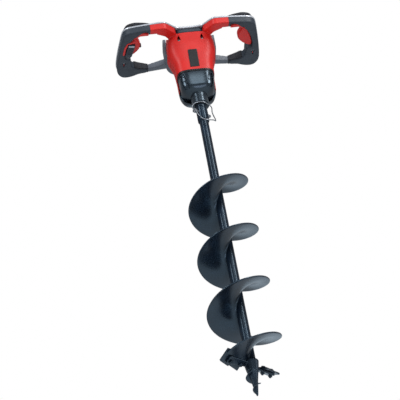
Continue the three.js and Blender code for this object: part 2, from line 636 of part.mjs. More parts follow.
for (const x of [-32, 32]) {
  for (const y of [52, 68]) board = board.add(rod(2.6, BOARD.high - 1, DOCK.deck - WALL - GAP, x, y, 8));
}
piece("controller_board", "board", board, handles);

// ---- the drill: sleeve and tube, flight, boss, blades on their carriers, pilot point ----
const BOSS = { low: z(56), lowRadius: 12.6, shoulder: z(79), radius: 16.3, high: z(85) };
const FLIGHT_STEPS = 26; // per turn
function lathe(profile, sides) {
  const line = profile.map(([radius, height]) => new THREE.Vector2(radius, height));
  return solid(new THREE.LatheGeometry(line, sides), turned(X_AXIS, Math.PI / 2));
}
piece("auger_sleeve", "coated", ring(SLEEVE_RADIUS, SPINDLE_RADIUS + 0.4, SLEEVE_LOW, z(794.5), 24)
  .subtract(rod(TUBE_RADIUS + GAP, SLEEVE_LOW - 1, z(757.6), 0, 0, 24)).subtract(pinBore));
piece("auger_tube", "coated", rod(TUBE_RADIUS, BOSS.high + GAP, z(757), 0, 0, 24));

// A closed skin through rings of points, capped at both ends.
function sweep(rings) {
  const count = rings[0].length;
  const triangles = [];
  for (let k = 0; k + 1 < rings.length; k++) {
    for (let i = 0; i < count; i++) {
      const [a, b] = [k * count + i, k * count + ((i + 1) % count)];
      triangles.push(a, b, b + count, a, b + count, a + count);
    }
  }
  const last = (rings.length - 1) * count;
  for (let i = 1; i + 1 < count; i++) {
    triangles.push(0, i + 1, i);
    triangles.push(last, last + i, last + i + 1);
  }
  const geometry = new THREE.BufferGeometry();
  geometry.setAttribute("position", new THREE.BufferAttribute(new Float32Array(rings.flat(2)), 3));
  geometry.setIndex(triangles);
  return solid(geometry);
}

// A helical slab: its inner and outer radius and height may change along it.
function helix(steps, shapeAt) {
  const rings = [];
  for (let i = 0; i <= steps; i++) {
    const { angle, inner, outer, height, thick } = shapeAt(i / steps);
    const [c, s] = [Math.cos(angle), Math.sin(angle)];
    rings.push([
      [inner * c, inner * s, height - thick / 2],
      [inner * c, inner * s, height + thick / 2],
      [outer * c, outer * s, height + thick / 2],
      [outer * c, outer * s, height - thick / 2],
    ]);
  }
  return sweep(rings);
}
const bossProfile = (grow) => lathe([[0, BOSS.low - grow], [BOSS.lowRadius + grow, BOSS.low - grow],
  [BOSS.radius + grow, BOSS.shoulder], [TUBE_RADIUS + 1 + grow, BOSS.high + grow],
  [0, BOSS.high + grow]], 20);
const flightStart = THREE.MathUtils.degToRad(FLIGHT_FIRST);
const flight = helix(Math.round(FLIGHT_TURNS * FLIGHT_STEPS), (u) => ({
  angle: flightStart + u * FLIGHT_TURNS * 2 * Math.PI,
  inner: TUBE_RADIUS + 0.5,
  outer: FLIGHT_RADIUS,
  height: FLIGHT_LOW + u * FLIGHT_TURNS * FLIGHT_PITCH,
  thick: FLIGHT_THICK,
})).subtract(bossProfile(GAP));
piece("auger_flight", "coated", flight);

// Each blade is bolted on top of a carrier that grows out of the boss; the first follows the flight's end.
const BLADE_SEATS = [
  { angle: -139.3, height: z(76.6), rise: 0 },
  { angle: 49, height: z(69), rise: 3.5 },
]; // degrees, and the height of the blade's underside at the drill axis
const BLADE_SLOPE = THREE.MathUtils.degToRad(24.8);
const CARRIER_THICK = 5;
const BLADE_THICK = 4;
const CARRIER = [[12, -4], [63, -4], [63, 14], [12, 9]];
const BLADE = [[20.5, -4], [58, -4], [58, -16], [76, -16], [76, 16], [49, 22.5], [49, 19.5], [20.5, 26.5]];
const BOLTS = [[29, 7], [55, 8]];
const BOLT = { radius: 2.5, head: 4.6, headHeight: 3.5, nutHeight: 4.2, tail: 2 };
const flightRoom = helix(FLIGHT_STEPS, (u) => ({
  angle: flightStart + u * 2 * Math.PI,
  inner: TUBE_RADIUS,
  outer: FLIGHT_RADIUS + GAP,
  height: FLIGHT_LOW + u * FLIGHT_PITCH,
  thick: FLIGHT_THICK + 2 * GAP,
}));
const largest = (body) => body.decompose().reduce((a, b) => (a.volume() > b.volume() ? a : b));
let tipBoss = bossProfile(0);
BLADE_SEATS.forEach(({ angle, height, rise }, side) => {
  // Local x runs outwards, local y forwards down the slope, local z up through the plate.
  const frame = turned(Z_AXIS, THREE.MathUtils.degToRad(angle)).multiply(at(0, 0, height))
    .multiply(turned(Y_AXIS, -THREE.MathUtils.degToRad(rise))).multiply(turned(X_AXIS, BLADE_SLOPE))
    .multiply(new THREE.Matrix4().makeScale(1, -1, 1));
  const bores = BOLTS.map(([x, y]) => rod(BOLT.radius + GAP, -20, 20, x, y, 10)).reduce((a, b) => a.add(b));
  const carrier = prism(CARRIER, -CARRIER_THICK, 0).subtract(bores).transform(frame.elements);
  const blade = bevelled(BLADE, GAP, GAP + BLADE_THICK, 0.8).subtract(bores).transform(frame.elements);
  tipBoss = tipBoss.add(largest(carrier.subtract(flightRoom)));
  piece("cutting_blade_" + (side + 1), "coated", largest(blade.subtract(flightRoom)));
  BOLTS.forEach(([x, y], i) => {
    const headLow = BLADE_THICK + 2 * GAP;
    const nutTop = -CARRIER_THICK - GAP;
    const bolt = rod(BOLT.radius, nutTop - BOLT.nutHeight - BOLT.tail, headLow + 1, x, y, 10)
      .add(rod(BOLT.head, headLow, headLow + BOLT.headHeight, x, y, 6))
      .add(rod(BOLT.head, nutTop - BOLT.nutHeight, nutTop, x, y, 6));
    piece("blade_bolt_" + (side + 1) + "_" + (i + 1), "coated", bolt.transform(frame.elements));
  });
});
piece("tip_boss", "coated", tipBoss);

// The pilot point: a tapered core with one coarse screw thread that widens upwards.
const PILOT = { top: BOSS.low - GAP, pitch: 30, threadLow: 4, threadHigh: 50, reference: 43, angle: 173.4 };
const pilotCore = lathe([[0, z(0)], [2.4, z(3.5)], [4.8, z(18)], [7.6, z(36)], [12, PILOT.top],
  [0, PILOT.top]], 14);
const pilotThread = helix(30, (u) => {
  const height = PILOT.threadLow + u * (PILOT.threadHigh - PILOT.threadLow);
  const turnsOn = (height - PILOT.reference) / PILOT.pitch;
  return {
    angle: THREE.MathUtils.degToRad(PILOT.angle) + turnsOn * 2 * Math.PI,
    inner: 1,
    outer: 3 + Math.min(height, PILOT.reference) / 3,
    height: z(height),
    thick: 3,
  };
});
piece("pilot_point", "coated", pilotCore.add(pilotThread));

// ---- cross pin with its spring wire bow ----
const PIN = { tail: 25, head: -26, headInner: -19, headRadius: 5.5 };
const crossPin = crossRod(PIN_RADIUS, PIN.headInner - 1, PIN.tail, 0, 0, 16)
  .add(crossRod(PIN.headRadius, PIN.head, PIN.headInner, 0, 0, 16));
piece("cross_pin", "steel", crossPin.transform(pinFrame.elements));
const WIRE_RADIUS = 1.3;
// The bow runs from one side of the pin's head round the front of the tube and back to the head.
// Each point: degrees round the drill axis from the pin's direction, radius, height above the pin.
const BOW = [
  [177, 26.5, 12],
  [184, 25, 18],
  [196, 22.8, 20.5],
  [222, 22, 19.6],
  [248, 22, 18],
  [281, 22.5, 14.5],
  [313, 25, 12.5],
  [346, 28.3, 10.5],
  [344, 30, -3],
  [337, 31, -17],
  [329, 29, -25],
  [303, 25, -32],
  [256, 22, -38.5],
  [227, 22, -35],
  [206, 22, -22],
  [196, 23, -12],
];
const BOW_AXIS = { along: -22.5, lean: THREE.MathUtils.degToRad(35), reach: 7.2 };
const bowEnd = (side) => [BOW_AXIS.along, side * BOW_AXIS.reach * Math.sin(BOW_AXIS.lean),
  side * BOW_AXIS.reach * Math.cos(BOW_AXIS.lean)];
const bowPath = [bowEnd(1), ...BOW.map(([degrees, radius, height]) => {
  const angle = THREE.MathUtils.degToRad(degrees);
  return [radius * Math.cos(angle), radius * Math.sin(angle), height];
}), bowEnd(-1)].map((p) => new THREE.Vector3(...p));
const wireSection = new THREE.Shape();
wireSection.absarc(0, 0, WIRE_RADIUS, 0, 2 * Math.PI, false);
const bowWire = new THREE.ExtrudeGeometry(wireSection, {
  steps: 60,
  curveSegments: 3,
  extrudePath: new THREE.CatmullRomCurve3(bowPath),
});
piece("pin_bow", "steel", solid(bowWire, pinFrame));

export default auger;
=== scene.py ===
# Cordless auger powerhead with its 150 mm spiral drill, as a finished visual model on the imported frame.
# Lengths are millimetres, in the part's frame or the handles' own tilted one, unless a comment says metres.
import json
import math

import bmesh
import bpy
import numpy as np
from mathutils import Matrix, Vector


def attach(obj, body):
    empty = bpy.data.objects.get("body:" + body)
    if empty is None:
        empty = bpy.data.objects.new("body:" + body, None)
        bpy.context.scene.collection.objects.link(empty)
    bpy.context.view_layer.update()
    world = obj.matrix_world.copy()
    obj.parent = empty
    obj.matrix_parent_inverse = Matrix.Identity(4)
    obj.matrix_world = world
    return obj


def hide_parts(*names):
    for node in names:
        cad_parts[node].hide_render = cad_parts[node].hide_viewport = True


MM = 0.001
TIP = 1015  # from the grips down to the pilot point
GAP = 0.3  # between parts that stay apart
SEAM = 0.1  # between finished pieces that meet


def spin(angle, axis):
    return Matrix.Rotation(angle, 4, axis)


def shift(x, y, z=0.0):
    return Matrix.Translation((x, y, z))


TILT = spin(math.radians(10), "X")  # of the handles' plane
MIRROR = Matrix.Scale(-1, 4, Vector((1, 0, 0)))
UPRIGHT = spin(math.pi / 2, "X")  # turns a level outline to face the front
CREASE = 42  # degrees; a sharper edge of a moulded shell stays sharp

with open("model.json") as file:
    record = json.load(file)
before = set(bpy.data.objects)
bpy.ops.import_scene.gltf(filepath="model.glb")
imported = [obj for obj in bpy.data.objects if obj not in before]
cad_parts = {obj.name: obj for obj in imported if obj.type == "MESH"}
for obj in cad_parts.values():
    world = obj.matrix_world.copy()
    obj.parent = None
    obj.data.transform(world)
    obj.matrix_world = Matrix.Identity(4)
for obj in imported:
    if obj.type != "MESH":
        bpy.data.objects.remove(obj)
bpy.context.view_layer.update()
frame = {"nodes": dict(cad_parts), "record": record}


def up(height):
    """The z of a height above the tip of the drill."""
    return height - TIP


def new_object(name, data):
    thing = bpy.data.objects.new(name, data)
    bpy.context.scene.collection.objects.link(thing)
    return thing


# ---- camera: looks up at the powerhead from in front and below ----
CAMERA_PLACE = Vector((-0.29196, -2.16262, -2.12160))  # metres
CAMERA_YAW, CAMERA_PITCH, CAMERA_ROLL = -0.114378, math.pi / 2 + 0.63950, -0.181566
camera = new_object("camera", bpy.data.cameras.new("camera"))
camera.data.lens = 106.573
camera.data.sensor_width = 36
camera.data.clip_end = 100
camera.matrix_world = (
    Matrix.Translation(CAMERA_PLACE)
    @ spin(CAMERA_YAW, "Z")
    @ spin(CAMERA_PITCH, "X")
    @ spin(CAMERA_ROLL, "Z")
)
bpy.context.scene.camera = camera
bpy.context.scene.view_settings.view_transform = "Standard"


# ---- mesh tools ----
def skin(rings, closed=False):
    """A surface through rings of equally many points. A closed skin joins its last ring to its first."""
    count = len(rings[0])
    faces = []
    for k in range(len(rings) if closed else len(rings) - 1):
        low, high = k * count, (k + 1) % len(rings) * count
        for i in range(count):
            j = (i + 1) % count
            faces.append((low + i, low + j, high + j, high + i))
    if not closed:
        last = (len(rings) - 1) * count
        faces.append(tuple(reversed(range(count))))
        faces.append(tuple(range(last, last + count)))
    mesh = bpy.data.meshes.new("solid")
    mesh.from_pydata((np.concatenate(rings).astype(float) * MM).tolist(), [], faces)
    return outwards(new_object("solid", mesh))


def outwards(piece):
    """Turns the faces of a closed piece outwards."""
    shape = bmesh.new()
    shape.from_mesh(piece.data)
    bmesh.ops.recalc_face_normals(shape, faces=shape.faces)
    if shape.calc_volume(signed=True) < 0:
        bmesh.ops.reverse_faces(shape, faces=shape.faces)
    shape.to_mesh(piece.data)
    shape.free()
    return piece


def settle(piece):
    """Puts the modifiers' result into the mesh."""
    shown = piece.evaluated_get(bpy.context.evaluated_depsgraph_get())
    mesh = bpy.data.meshes.new_from_object(shown)
    piece.modifiers.clear()
    piece.data = mesh
    return piece


def modify(piece, kind, **settings):
    step = piece.modifiers.new(kind, kind)
    for key, value in settings.items():
        setattr(step, key, value)


def combine(operation, base, tools):
    for tool in tools:
        modify(base, "BOOLEAN", operation=operation, solver="MANIFOLD", object=tool)
    settle(base)
    for tool in tools:
        bpy.data.objects.remove(tool)
    return base


def join(base, *tools):
    return combine("UNION", base, tools)


def cut(base, *tools):
    return combine("DIFFERENCE", base, tools)


def within(base, *tools):
    return combine("INTERSECT", base, tools)


def copy(piece):
    return new_object(piece.name, piece.data.copy())


def moved(piece, matrix):
    """Moves the mesh itself, by a matrix in millimetres."""
    scaled = matrix.copy()
    scaled.translation = matrix.translation * MM
    piece.data.transform(scaled)
    if matrix.determinant() < 0:
        piece.data.flip_normals()
    return piece


def shifted(piece, x, y, z=0.0):
    return moved(piece, shift(x, y, z))


def tilted(piece):
    """From the handle plane's own frame into the part's."""
    return moved(piece, TILT)


def other_side(piece):
    return moved(copy(piece), MIRROR)


def moulded(piece, voxel, rounds):
    """Gives a sharp solid the soft edges and fillets of a moulding or casting."""
    modify(piece, "REMESH", mode="VOXEL", voxel_size=voxel * MM)
    modify(piece, "SMOOTH", factor=0.5, iterations=rounds)
    settle(piece)
    piece.data.shade_smooth()
    return piece


def smooth(piece, angle=35):
    piece.data.shade_smooth()
    piece.data.set_sharp_from_angle(angle=math.radians(angle))
    return piece


def edged(piece, width, segments=3, angle=32):
    """Small rounded edges and smooth shading on a solid with flat faces."""
    smooth(piece, angle)
    limits = {"limit_method": "ANGLE", "angle_limit": math.radians(angle)}
    modify(piece, "BEVEL", width=width * MM, segments=segments, harden_normals=True, **limits)
    return settle(piece)


def pushed(piece, offset):
    """Moves each vertex by what offset(positions, normals), in millimetres, gives for it."""
    count = len(piece.data.vertices)
    places = np.empty(count * 3)
    normals = np.empty(count * 3)
    piece.data.vertices.foreach_get("co", places)
    piece.data.vertex_normals.foreach_get("vector", normals)
    places = places.reshape(-1, 3) / MM
    places += offset(places, normals.reshape(-1, 3))
    piece.data.vertices.foreach_set("co", (places * MM).ravel())
    piece.data.update()
    return piece


# ---- shapes ----
def anticlockwise(points):
    points = np.asarray(points, float)
    ahead = np.roll(points, -1, axis=0)
    area = (points[:, 0] * ahead[:, 1] - ahead[:, 0] * points[:, 1]).sum()
    return points[::-1] if area < 0 else points


def inset(points, distance):
    """An outline moved inwards, and turned anticlockwise."""
    points = anticlockwise(points)
    edges = np.roll(points, -1, axis=0) - points
    normals = np.stack([-edges[:, 1], edges[:, 0]], axis=1) / np.linalg.norm(edges, axis=1)[:, None]
    before = np.roll(normals, 1, axis=0)
    stretch = distance / np.maximum(1 + (before * normals).sum(axis=1), 0.5)
    return points + (before + normals) * stretch[:, None]


def rounded(points, reach=1000.0, steps=5):
    """A closed outline with a curve at each corner, which starts at most `reach` before it."""
    points = np.asarray(points, float)
    curve = []
    for i, corner in enumerate(points):
        ends = []
        for other in (points[i - 1], points[(i + 1) % len(points)]):
            side = other - corner
            length = np.linalg.norm(side)
            ends.append(corner + side / length * min(reach, 0.49 * length))
        for t in np.linspace(0, 1, steps + 1):
            curve.append((1 - t) ** 2 * ends[0] + 2 * t * (1 - t) * corner + t * t * ends[1])
    return np.array(curve)


def level(outline, height):
    return np.column_stack([outline, np.full(len(outline), height)])


def slab(points, low, high, edge=0.0, reach=8.0, steps=4):
    """An extruded outline whose upper and lower edges are rounded by `edge`."""
    turns = np.linspace(0, math.pi / 2, steps + 1) if edge else [math.pi / 2]
    curve = [(edge * (1 - math.sin(a)), edge * (1 - math.cos(a))) for a in turns]
    rings = [(depth, low + rise) for depth, rise in curve]
    rings += [(depth, high - rise) for depth, rise in curve[::-1]]
    return skin([level(rounded(inset(points, depth), reach), height) for depth, height in rings])


def rectangle(x0, x1, y0, y1):
    return [(x0, y0), (x1, y0), (x1, y1), (x0, y1)]


def box(x0, x1, y0, y1, z0, z1):
    return skin([level(np.array(rectangle(x0, x1, y0, y1), float), z) for z in (z0, z1)])


def box_up(x0, x1, y0, y1, low, high):
    """A box between two heights above the tip of the drill."""
    return box(x0, x1, y0, y1, up(low), up(high))


def full_turn(steps):
    return np.arange(steps) * 2 * math.pi / steps


def circle(radius, steps):
    """A round outline; the radius may differ from step to step."""
    angles = full_turn(steps)
    return np.column_stack([radius * np.cos(angles), radius * np.sin(angles)])


def turned(profile, steps=96, closed=False):
    """A lathed solid from (radius, height) pairs; a closed profile makes a hollow one."""
    least = 0.02  # in place of a point on the axis
    return skin([level(circle(max(radius, least), steps), height) for radius, height in profile], closed)


def turned_up(profile, steps=96, closed=False):
    return turned([(radius, up(height)) for radius, height in profile], steps, closed)


def rod(radius, low, high, x=0, y=0, steps=48):
    return shifted(turned([(radius, low), (radius, high)], steps), x, y)


def lying(piece, axis):
    """Turns an upright solid to lie along X or Y."""
    if axis == "X":
        return moved(piece, spin(math.pi / 2, "Y"))
    return moved(piece, spin(-math.pi / 2, "X"))


def along(levels, values, at):
    """A smooth curve through values that never overshoots them."""
    levels, values = np.asarray(levels, float), np.asarray(values, float)
    slopes = np.diff(values) / np.diff(levels)
    tangents = np.concatenate([slopes[:1], (slopes[:-1] + slopes[1:]) / 2, slopes[-1:]])
    turning = np.concatenate([[False], slopes[:-1] * slopes[1:] <= 0, [False]])
    tangents[turning] = 0
    before = np.abs(np.concatenate([slopes[:1], slopes]))
    after = np.abs(np.concatenate([slopes, slopes[-1:]]))
    steepest = 3 * np.minimum(before, after)
    tangents = np.clip(tangents, -steepest, steepest)
    k = np.clip(np.searchsorted(levels, at) - 1, 0, len(levels) - 2)
    span = levels[k + 1] - levels[k]
    t = (at - levels[k]) / span
    return (
        (2 * t**3 - 3 * t**2 + 1) * values[k]
        + (t**3 - 2 * t**2 + t) * span * tangents[k]
        + (3 * t**2 - 2 * t**3) * values[k + 1]
        + (t**3 - t**2) * span * tangents[k + 1]
    )


def section(half, front, rear, height, squareness=3.8, count=160):
    """One level ring of a housing. A squareness of 2 gives an ellipse, a higher one is boxier."""
    angles = full_turn(count)
    cosine, sine = np.cos(angles), np.sin(angles)
    power = 2 / squareness
    x = half * np.sign(cosine) * np.abs(cosine) ** power
    y = np.where(sine < 0, front, rear) * np.sign(sine) * np.abs(sine) ** power
    return np.column_stack([x, y, np.full(count, height)])


def housing(sections, inner=0.0, low=None, high=None, step=2.0):
    """A smooth body through (height, half width, front, rear) rows, or its inside at a wall of `inner`."""
    heights, halves, fronts, rears = np.array(sections, float).T
    levels = np.arange(heights[0], heights[-1] + step / 2, step)
    levels[-1] = heights[-1]
    rings = [(h, *(along(heights, values, h) - inner for values in (halves, fronts, rears))) for h in levels]
    if low is not None:
        rings[0] = (low, *rings[0][1:])
    if high is not None:
        rings[-1] = (high, *rings[-1][1:])
    return skin([section(half, front, rear, up(h)) for h, half, front, rear in rings])


def swept(path, radius, sides=16):
    """A round wire along a path of points."""
    path = np.asarray(path, float)
    rings = []
    ahead = np.gradient(path, axis=0)
    ahead /= np.linalg.norm(ahead, axis=1)[:, None]
    across = np.cross(ahead[0], [0.3, 0.2, 1.0])
    for place, direction in zip(path, ahead):
        across = across - direction * across.dot(direction)
        across /= np.linalg.norm(across)
        normal = np.cross(direction, across)
        angles = full_turn(sides)
        rings.append(place + radius * (np.outer(np.cos(angles), across) + np.outer(np.sin(angles), normal)))
    return skin(rings)


# ---- materials ----
class Nodes:
    """A short way to write a node tree."""

    def __init__(self, name):
        self.material = bpy.data.materials.new(name)
        self.material.use_nodes = True
        self.tree = self.material.node_tree
        self.surface = self.tree.nodes["Principled BSDF"]
        self.place = self.add("TexCoord").outputs["Object"]

    def add(self, kind, inputs=None, **settings):
        node = self.tree.nodes.new("ShaderNode" + kind)
        for key, value in settings.items():
            setattr(node, key, value)
        for key, value in (inputs or {}).items():
            self.feed(node.inputs[key], value)
        return node

    def feed(self, socket, value):
        """Links a socket, or sets it to a number, a tuple or a colour's code."""
        if isinstance(value, bpy.types.NodeSocket):
            self.tree.links.new(value, socket)
        else:
            socket.default_value = colour(value) if isinstance(value, str) else value

    def noise(self, size, detail=3.0, roughness=0.55, stretch=(1, 1, 1)):
        """Noise with blotches of `size` millimetres."""
        place = self.add("Mapping", {"Vector": self.place, "Scale": stretch}).outputs["Vector"]
        inputs = {"Vector": place, "Scale": 1 / (size * MM), "Detail": detail, "Roughness": roughness}
        return self.add("TexNoise", inputs).outputs["Fac"]

    def cells(self, size):
        """Round grains of `size` millimetres."""
        inputs = {"Vector": self.place, "Scale": 1 / (size * MM)}
        return self.add("TexVoronoi", inputs).outputs["Distance"]

    def remap(self, value, low, high, to_low=0.0, to_high=1.0):
        inputs = {"Value": value, "From Min": low, "From Max": high, "To Min": to_low, "To Max": to_high}
        return self.add("MapRange", inputs).outputs["Result"]

    def mix(self, share, a, b):
        node = self.add("Mix", data_type="RGBA")
        self.feed(node.inputs["Factor"], share)
        self.feed(node.inputs["A"], a)
        self.feed(node.inputs["B"], b)
        return node.outputs["Result"]

    def math(self, operation, a, b):
        node = self.add("Math", operation=operation)
        self.feed(node.inputs[0], a)
        self.feed(node.inputs[1], b)
        return node.outputs["Value"]

    def times(self, a, b):
        return self.math("MULTIPLY", a, b)

    def edges(self, low=0.52, high=0.6):
        """1 on outer edges, 0 elsewhere."""
        return self.remap(self.add("NewGeometry").outputs["Pointiness"], low, high)

    def hollows(self):
        """1 in inner corners, 0 elsewhere."""
        return self.edges(0.49, 0.42)

    def bump(self, height, depth, under=None):
        """Raises the surface by height times `depth` millimetres."""
        inputs = {"Height": height, "Distance": depth * MM, "Strength": 1.0}
        if under is not None:
            inputs["Normal"] = under
        return self.add("Bump", inputs).outputs["Normal"]

    def principled(self, **inputs):
        """Sets or links the surface's inputs."""
        for key, value in inputs.items():
            self.feed(self.surface.inputs[key.replace("_", " ")], value)
        return self.material


def colour(hex_code, gain=1.0):
    """A linear colour from its usual six-digit sRGB form."""
    parts = [int(hex_code[i : i + 2], 16) / 255 for i in (0, 2, 4)]
    return tuple(gain * (c / 12.92 if c <= 0.04045 else ((c + 0.055) / 1.055) ** 2.4) for c in parts) + (1.0,)


BLUED = (0.52, 0.78, 1, 1)  # tint of the reflections on black paint


def moulded_plastic(name, base, shade, worn, rough, grain):
    """Textured plastic: flow blotches, fine spark-eroded grain, rubbed edges and painted shade in the inner
    corners.
    """
    n = Nodes(name)
    blotches = n.remap(n.noise(55, 4), 0.35, 0.65)
    tone = n.mix(blotches, base, shade)
    rub = n.times(n.edges(), n.remap(n.noise(6, 5), 0.4, 0.62))
    # Painted shade: inner corners are darkened towards a dim copy of the second tone.
    tone = n.mix(n.times(n.hollows(), 0.55), tone, colour(shade, 0.45))
    tone = n.mix(n.times(rub, 0.6), tone, worn)
    scuffs = n.remap(n.noise(3, 6, 0.7, (1, 0.25, 1)), 0.62, 0.7)
    sheen = n.remap(n.noise(18, 5), 0.3, 0.7, rough - 0.05, rough + 0.07)
    roughness = n.math("ADD", sheen, n.times(scuffs, 0.12))
    normal = n.bump(n.noise(grain, 3), 0.014, n.bump(n.cells(grain * 2.6), 0.01))
    return n.principled(Base_Color=tone, Roughness=roughness, Normal=normal, Specular_IOR_Level=0.32)


def gloss_case(name, base, shade):
    """Glossy moulded case: deep coat, faint orange peel, hairline scratches and dust."""
    n = Nodes(name)
    tone = n.mix(n.remap(n.noise(40, 4), 0.35, 0.65), base, shade)
    tone = n.mix(n.times(n.edges(0.54, 0.64), 0.3), tone, "3c434c")
    dust = n.remap(n.noise(1.6, 8, 0.75), 0.63, 0.72)
    hairlines = n.remap(n.noise(1.2, 4, 0.6, (1, 1, 0.06)), 0.64, 0.68)
    return n.principled(
        Base_Color=n.mix(n.times(dust, 0.1), tone, "59616b"),
        Roughness=n.math("ADD", n.remap(n.noise(30, 2), 0.3, 0.7, 0.2, 0.25), n.times(hairlines, 0.03)),
        Normal=n.bump(n.noise(16, 1), 0.012),
        Coat_Weight=0.2,
        Coat_Roughness=0.2,
        Specular_IOR_Level=0.6,
        Specular_Tint=BLUED,
    )


def rubber(name, base, shade):
    """Soft-touch rubber with a fine pebble grain and a dusty bloom."""
    n = Nodes(name)
    bloom = n.remap(n.noise(25, 6, 0.65), 0.42, 0.7)
    tone = n.mix(bloom, base, shade)
    tone = n.mix(n.times(n.edges(), 0.45), tone, "565b61")
    roughness = n.remap(n.noise(9, 5), 0.3, 0.7, 0.62, 0.82)
    pebbles = n.bump(n.cells(1.5), 0.12, n.bump(n.noise(0.6, 3), 0.05))
    n.principled(Base_Color=tone, Roughness=roughness, Normal=pebbles)
    return n.principled(Sheen_Weight=0.08, Sheen_Roughness=0.5, Specular_IOR_Level=0.35)


def coated_steel(name, reflection=0.7):
    """Black stove enamel on steel: orange peel, rubbed rims with grey primer, mud-dulled patches."""
    n = Nodes(name)
    patches = n.remap(n.noise(35, 6, 0.6), 0.4, 0.66)
    tone = n.mix(patches, "0b121c", "131f2d")
    chips = n.times(n.edges(0.6, 0.7), n.remap(n.noise(4, 6, 0.7), 0.42, 0.6))
    tone = n.mix(n.times(chips, 0.4), tone, "5d6873")
    return n.principled(
        Base_Color=tone,
        Metallic=n.times(chips, 0.6),
        Roughness=n.remap(n.noise(30, 2, 0.5, (1, 1, 0.3)), 0.35, 0.7, 0.22, 0.27),
        Normal=n.bump(n.noise(14, 1), 0.01),
        Coat_Weight=0.14 * reflection,
        Coat_Roughness=0.3,
        Specular_IOR_Level=reflection,
        Specular_Tint=BLUED,
    )


def bare_metal(name, base, shade, rough, lines=(1, 1, 14), line_depth=0.02):
    """Machined metal: tool marks along one direction, tarnish and bright rubbed edges."""
    n = Nodes(name)
    tarnish = n.remap(n.noise(10, 6, 0.65), 0.4, 0.7)
    tone = n.mix(tarnish, base, shade)
    tone = n.mix(n.times(n.edges(), 0.5), tone, "c9cdd2")
    marks = n.noise(2.5, 4, 0.6, lines)
    roughness = n.remap(marks, 0.3, 0.7, rough - 0.08, rough + 0.1)
    return n.principled(Base_Color=tone, Roughness=roughness, Normal=n.bump(marks, line_depth), Metallic=1.0)


def silver_paint(name):
    """Metallic paint on plastic: flake sparkle, soft blotches, a clear coat and rubbed edges."""
    n = Nodes(name)
    flakes = n.remap(n.cells(0.5), 0.1, 0.6)
    tone = n.mix(flakes, "bfc3c9", "a9adb4")
    tone = n.mix(n.times(n.remap(n.noise(30, 4), 0.45, 0.7), 0.4), tone, "8f97a2")
    tone = n.mix(n.times(n.edges(), 0.4), tone, "dfe2e6")
    roughness = n.remap(n.noise(8, 5), 0.3, 0.7, 0.28, 0.42)
    n.principled(Base_Color=tone, Roughness=roughness, Normal=n.bump(n.cells(0.9), 0.004))
    return n.principled(Metallic=0.3, Coat_Weight=0.3, Coat_Roughness=0.12)


def circuit_board(name):
    """Green solder mask with copper tracks under it."""
    n = Nodes(name)
    bricks = n.add("TexBrick", {"Vector": n.place, "Scale": 160.0, "Mortar Size": 0.03})
    tracks = n.remap(bricks.outputs["Fac"], 0.3, 0.7)
    tone = n.mix(tracks, "1a5a36", "5f9a52")
    tone = n.mix(n.remap(n.noise(4, 5), 0.55, 0.75), tone, "123f27")
    roughness = n.remap(n.noise(3, 4), 0.3, 0.7, 0.3, 0.5)
    n.principled(Base_Color=tone, Roughness=roughness, Normal=n.bump(tracks, 0.03))
    return n.principled(Specular_IOR_Level=0.5)


LOOKS = {
    name: make(name, *settings)
    for name, make, *settings in (
        ("red_plastic", moulded_plastic, "c91d17", "bb1914", "e2564a", 0.42, 0.9),
        ("grey_plastic", moulded_plastic, "5a6069", "525861", "8f959d", 0.46, 0.9),
        ("slate_plastic", moulded_plastic, "2c353f", "262e37", "6d7781", 0.5, 1.1),
        ("black_plastic", moulded_plastic, "14161b", "0f1115", "3c4147", 0.4, 0.8),
        ("gloss_black_case", gloss_case, "0f141a", "161c23"),
        ("soft_rubber", rubber, "15171d", "1f222a"),
        ("coated_steel", coated_steel),
        ("machined_steel", bare_metal, "8d939a", "646a72", 0.35),
        ("screw_steel", bare_metal, "55585e", "3b3e43", 0.42, (3, 3, 3), 0.01),
        ("brass_terminal", bare_metal, "d0a85c", "9c7838", 0.32, (1, 12, 1), 0.01),
        ("silver_trim", silver_paint),
        ("circuit_board", circuit_board),
    )
}


def added(piece, name, slot, body="powerhead", look=None):
    """Names a piece, gives it its slot's material, unless it has its own look, and rides it on its body."""
    piece.name = name
    piece.data.name = name
    piece.data.materials.clear()
    piece.data.materials.append(look or LOOKS[slot])
    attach(piece, body)


def finished(piece, node, slot, body="powerhead", look=None):
    """Puts a piece in place of its CAD node."""
    added(piece, node + "_fine", slot, body, look)
    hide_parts(node)


def on_drill(piece, node, look=None):
    """Puts a painted piece of the drill in place of its CAD node."""
    finished(piece, node, "coated_steel", "auger", look)


def finished_pair(piece, what, slot):
    """The same piece for the right side and, mirrored, for the left."""
    left = other_side(piece)
    finished(piece, "right_" + what, slot)
    finished(left, "left_" + what, slot)


# ---- handle outlines, right side, in the handle plane ----
LOWER_FACE = -15
STRIP_LOW, STRIP_HIGH = 1.5, 5.7
BAR_REAR = -67
RED_END, SLEEVE_END = 98, 105  # how far out the housings' arms reach in front and at the rear
OUTER_EDGE = [
    (RED_END, -90.5), (122, -87), (150, -83), (160, -78), (166, -69), (170, -50), (175, -20), (180, 12),
    (185, 50), (187, 78), (184, 97), (175, 110), (163, 113), (147, 110), (131, 101), (SLEEVE_END + 1, 98),
]  # fmt: skip
INNER_EDGE = [
    (SLEEVE_END + 1, 82), (130, 79), (143, 70), (149, 58), (149, 30), (164, 28), (163, 4), (155, -28),
    (144, -52), (124, BAR_REAR), (RED_END, BAR_REAR),
]  # fmt: skip
ARM_FRONT = [(0, -62), (24, -62.5), (36, -66.5), (58, -89.5), (64, -92), (74, -92), (RED_END - GAP, -90.5)]
ARM_REAR = [(RED_END - GAP, BAR_REAR), (80, BAR_REAR), (62, -56), (50, -38)]


def mirrored(points):
    return [(-x, y) for x, y in reversed(points)]


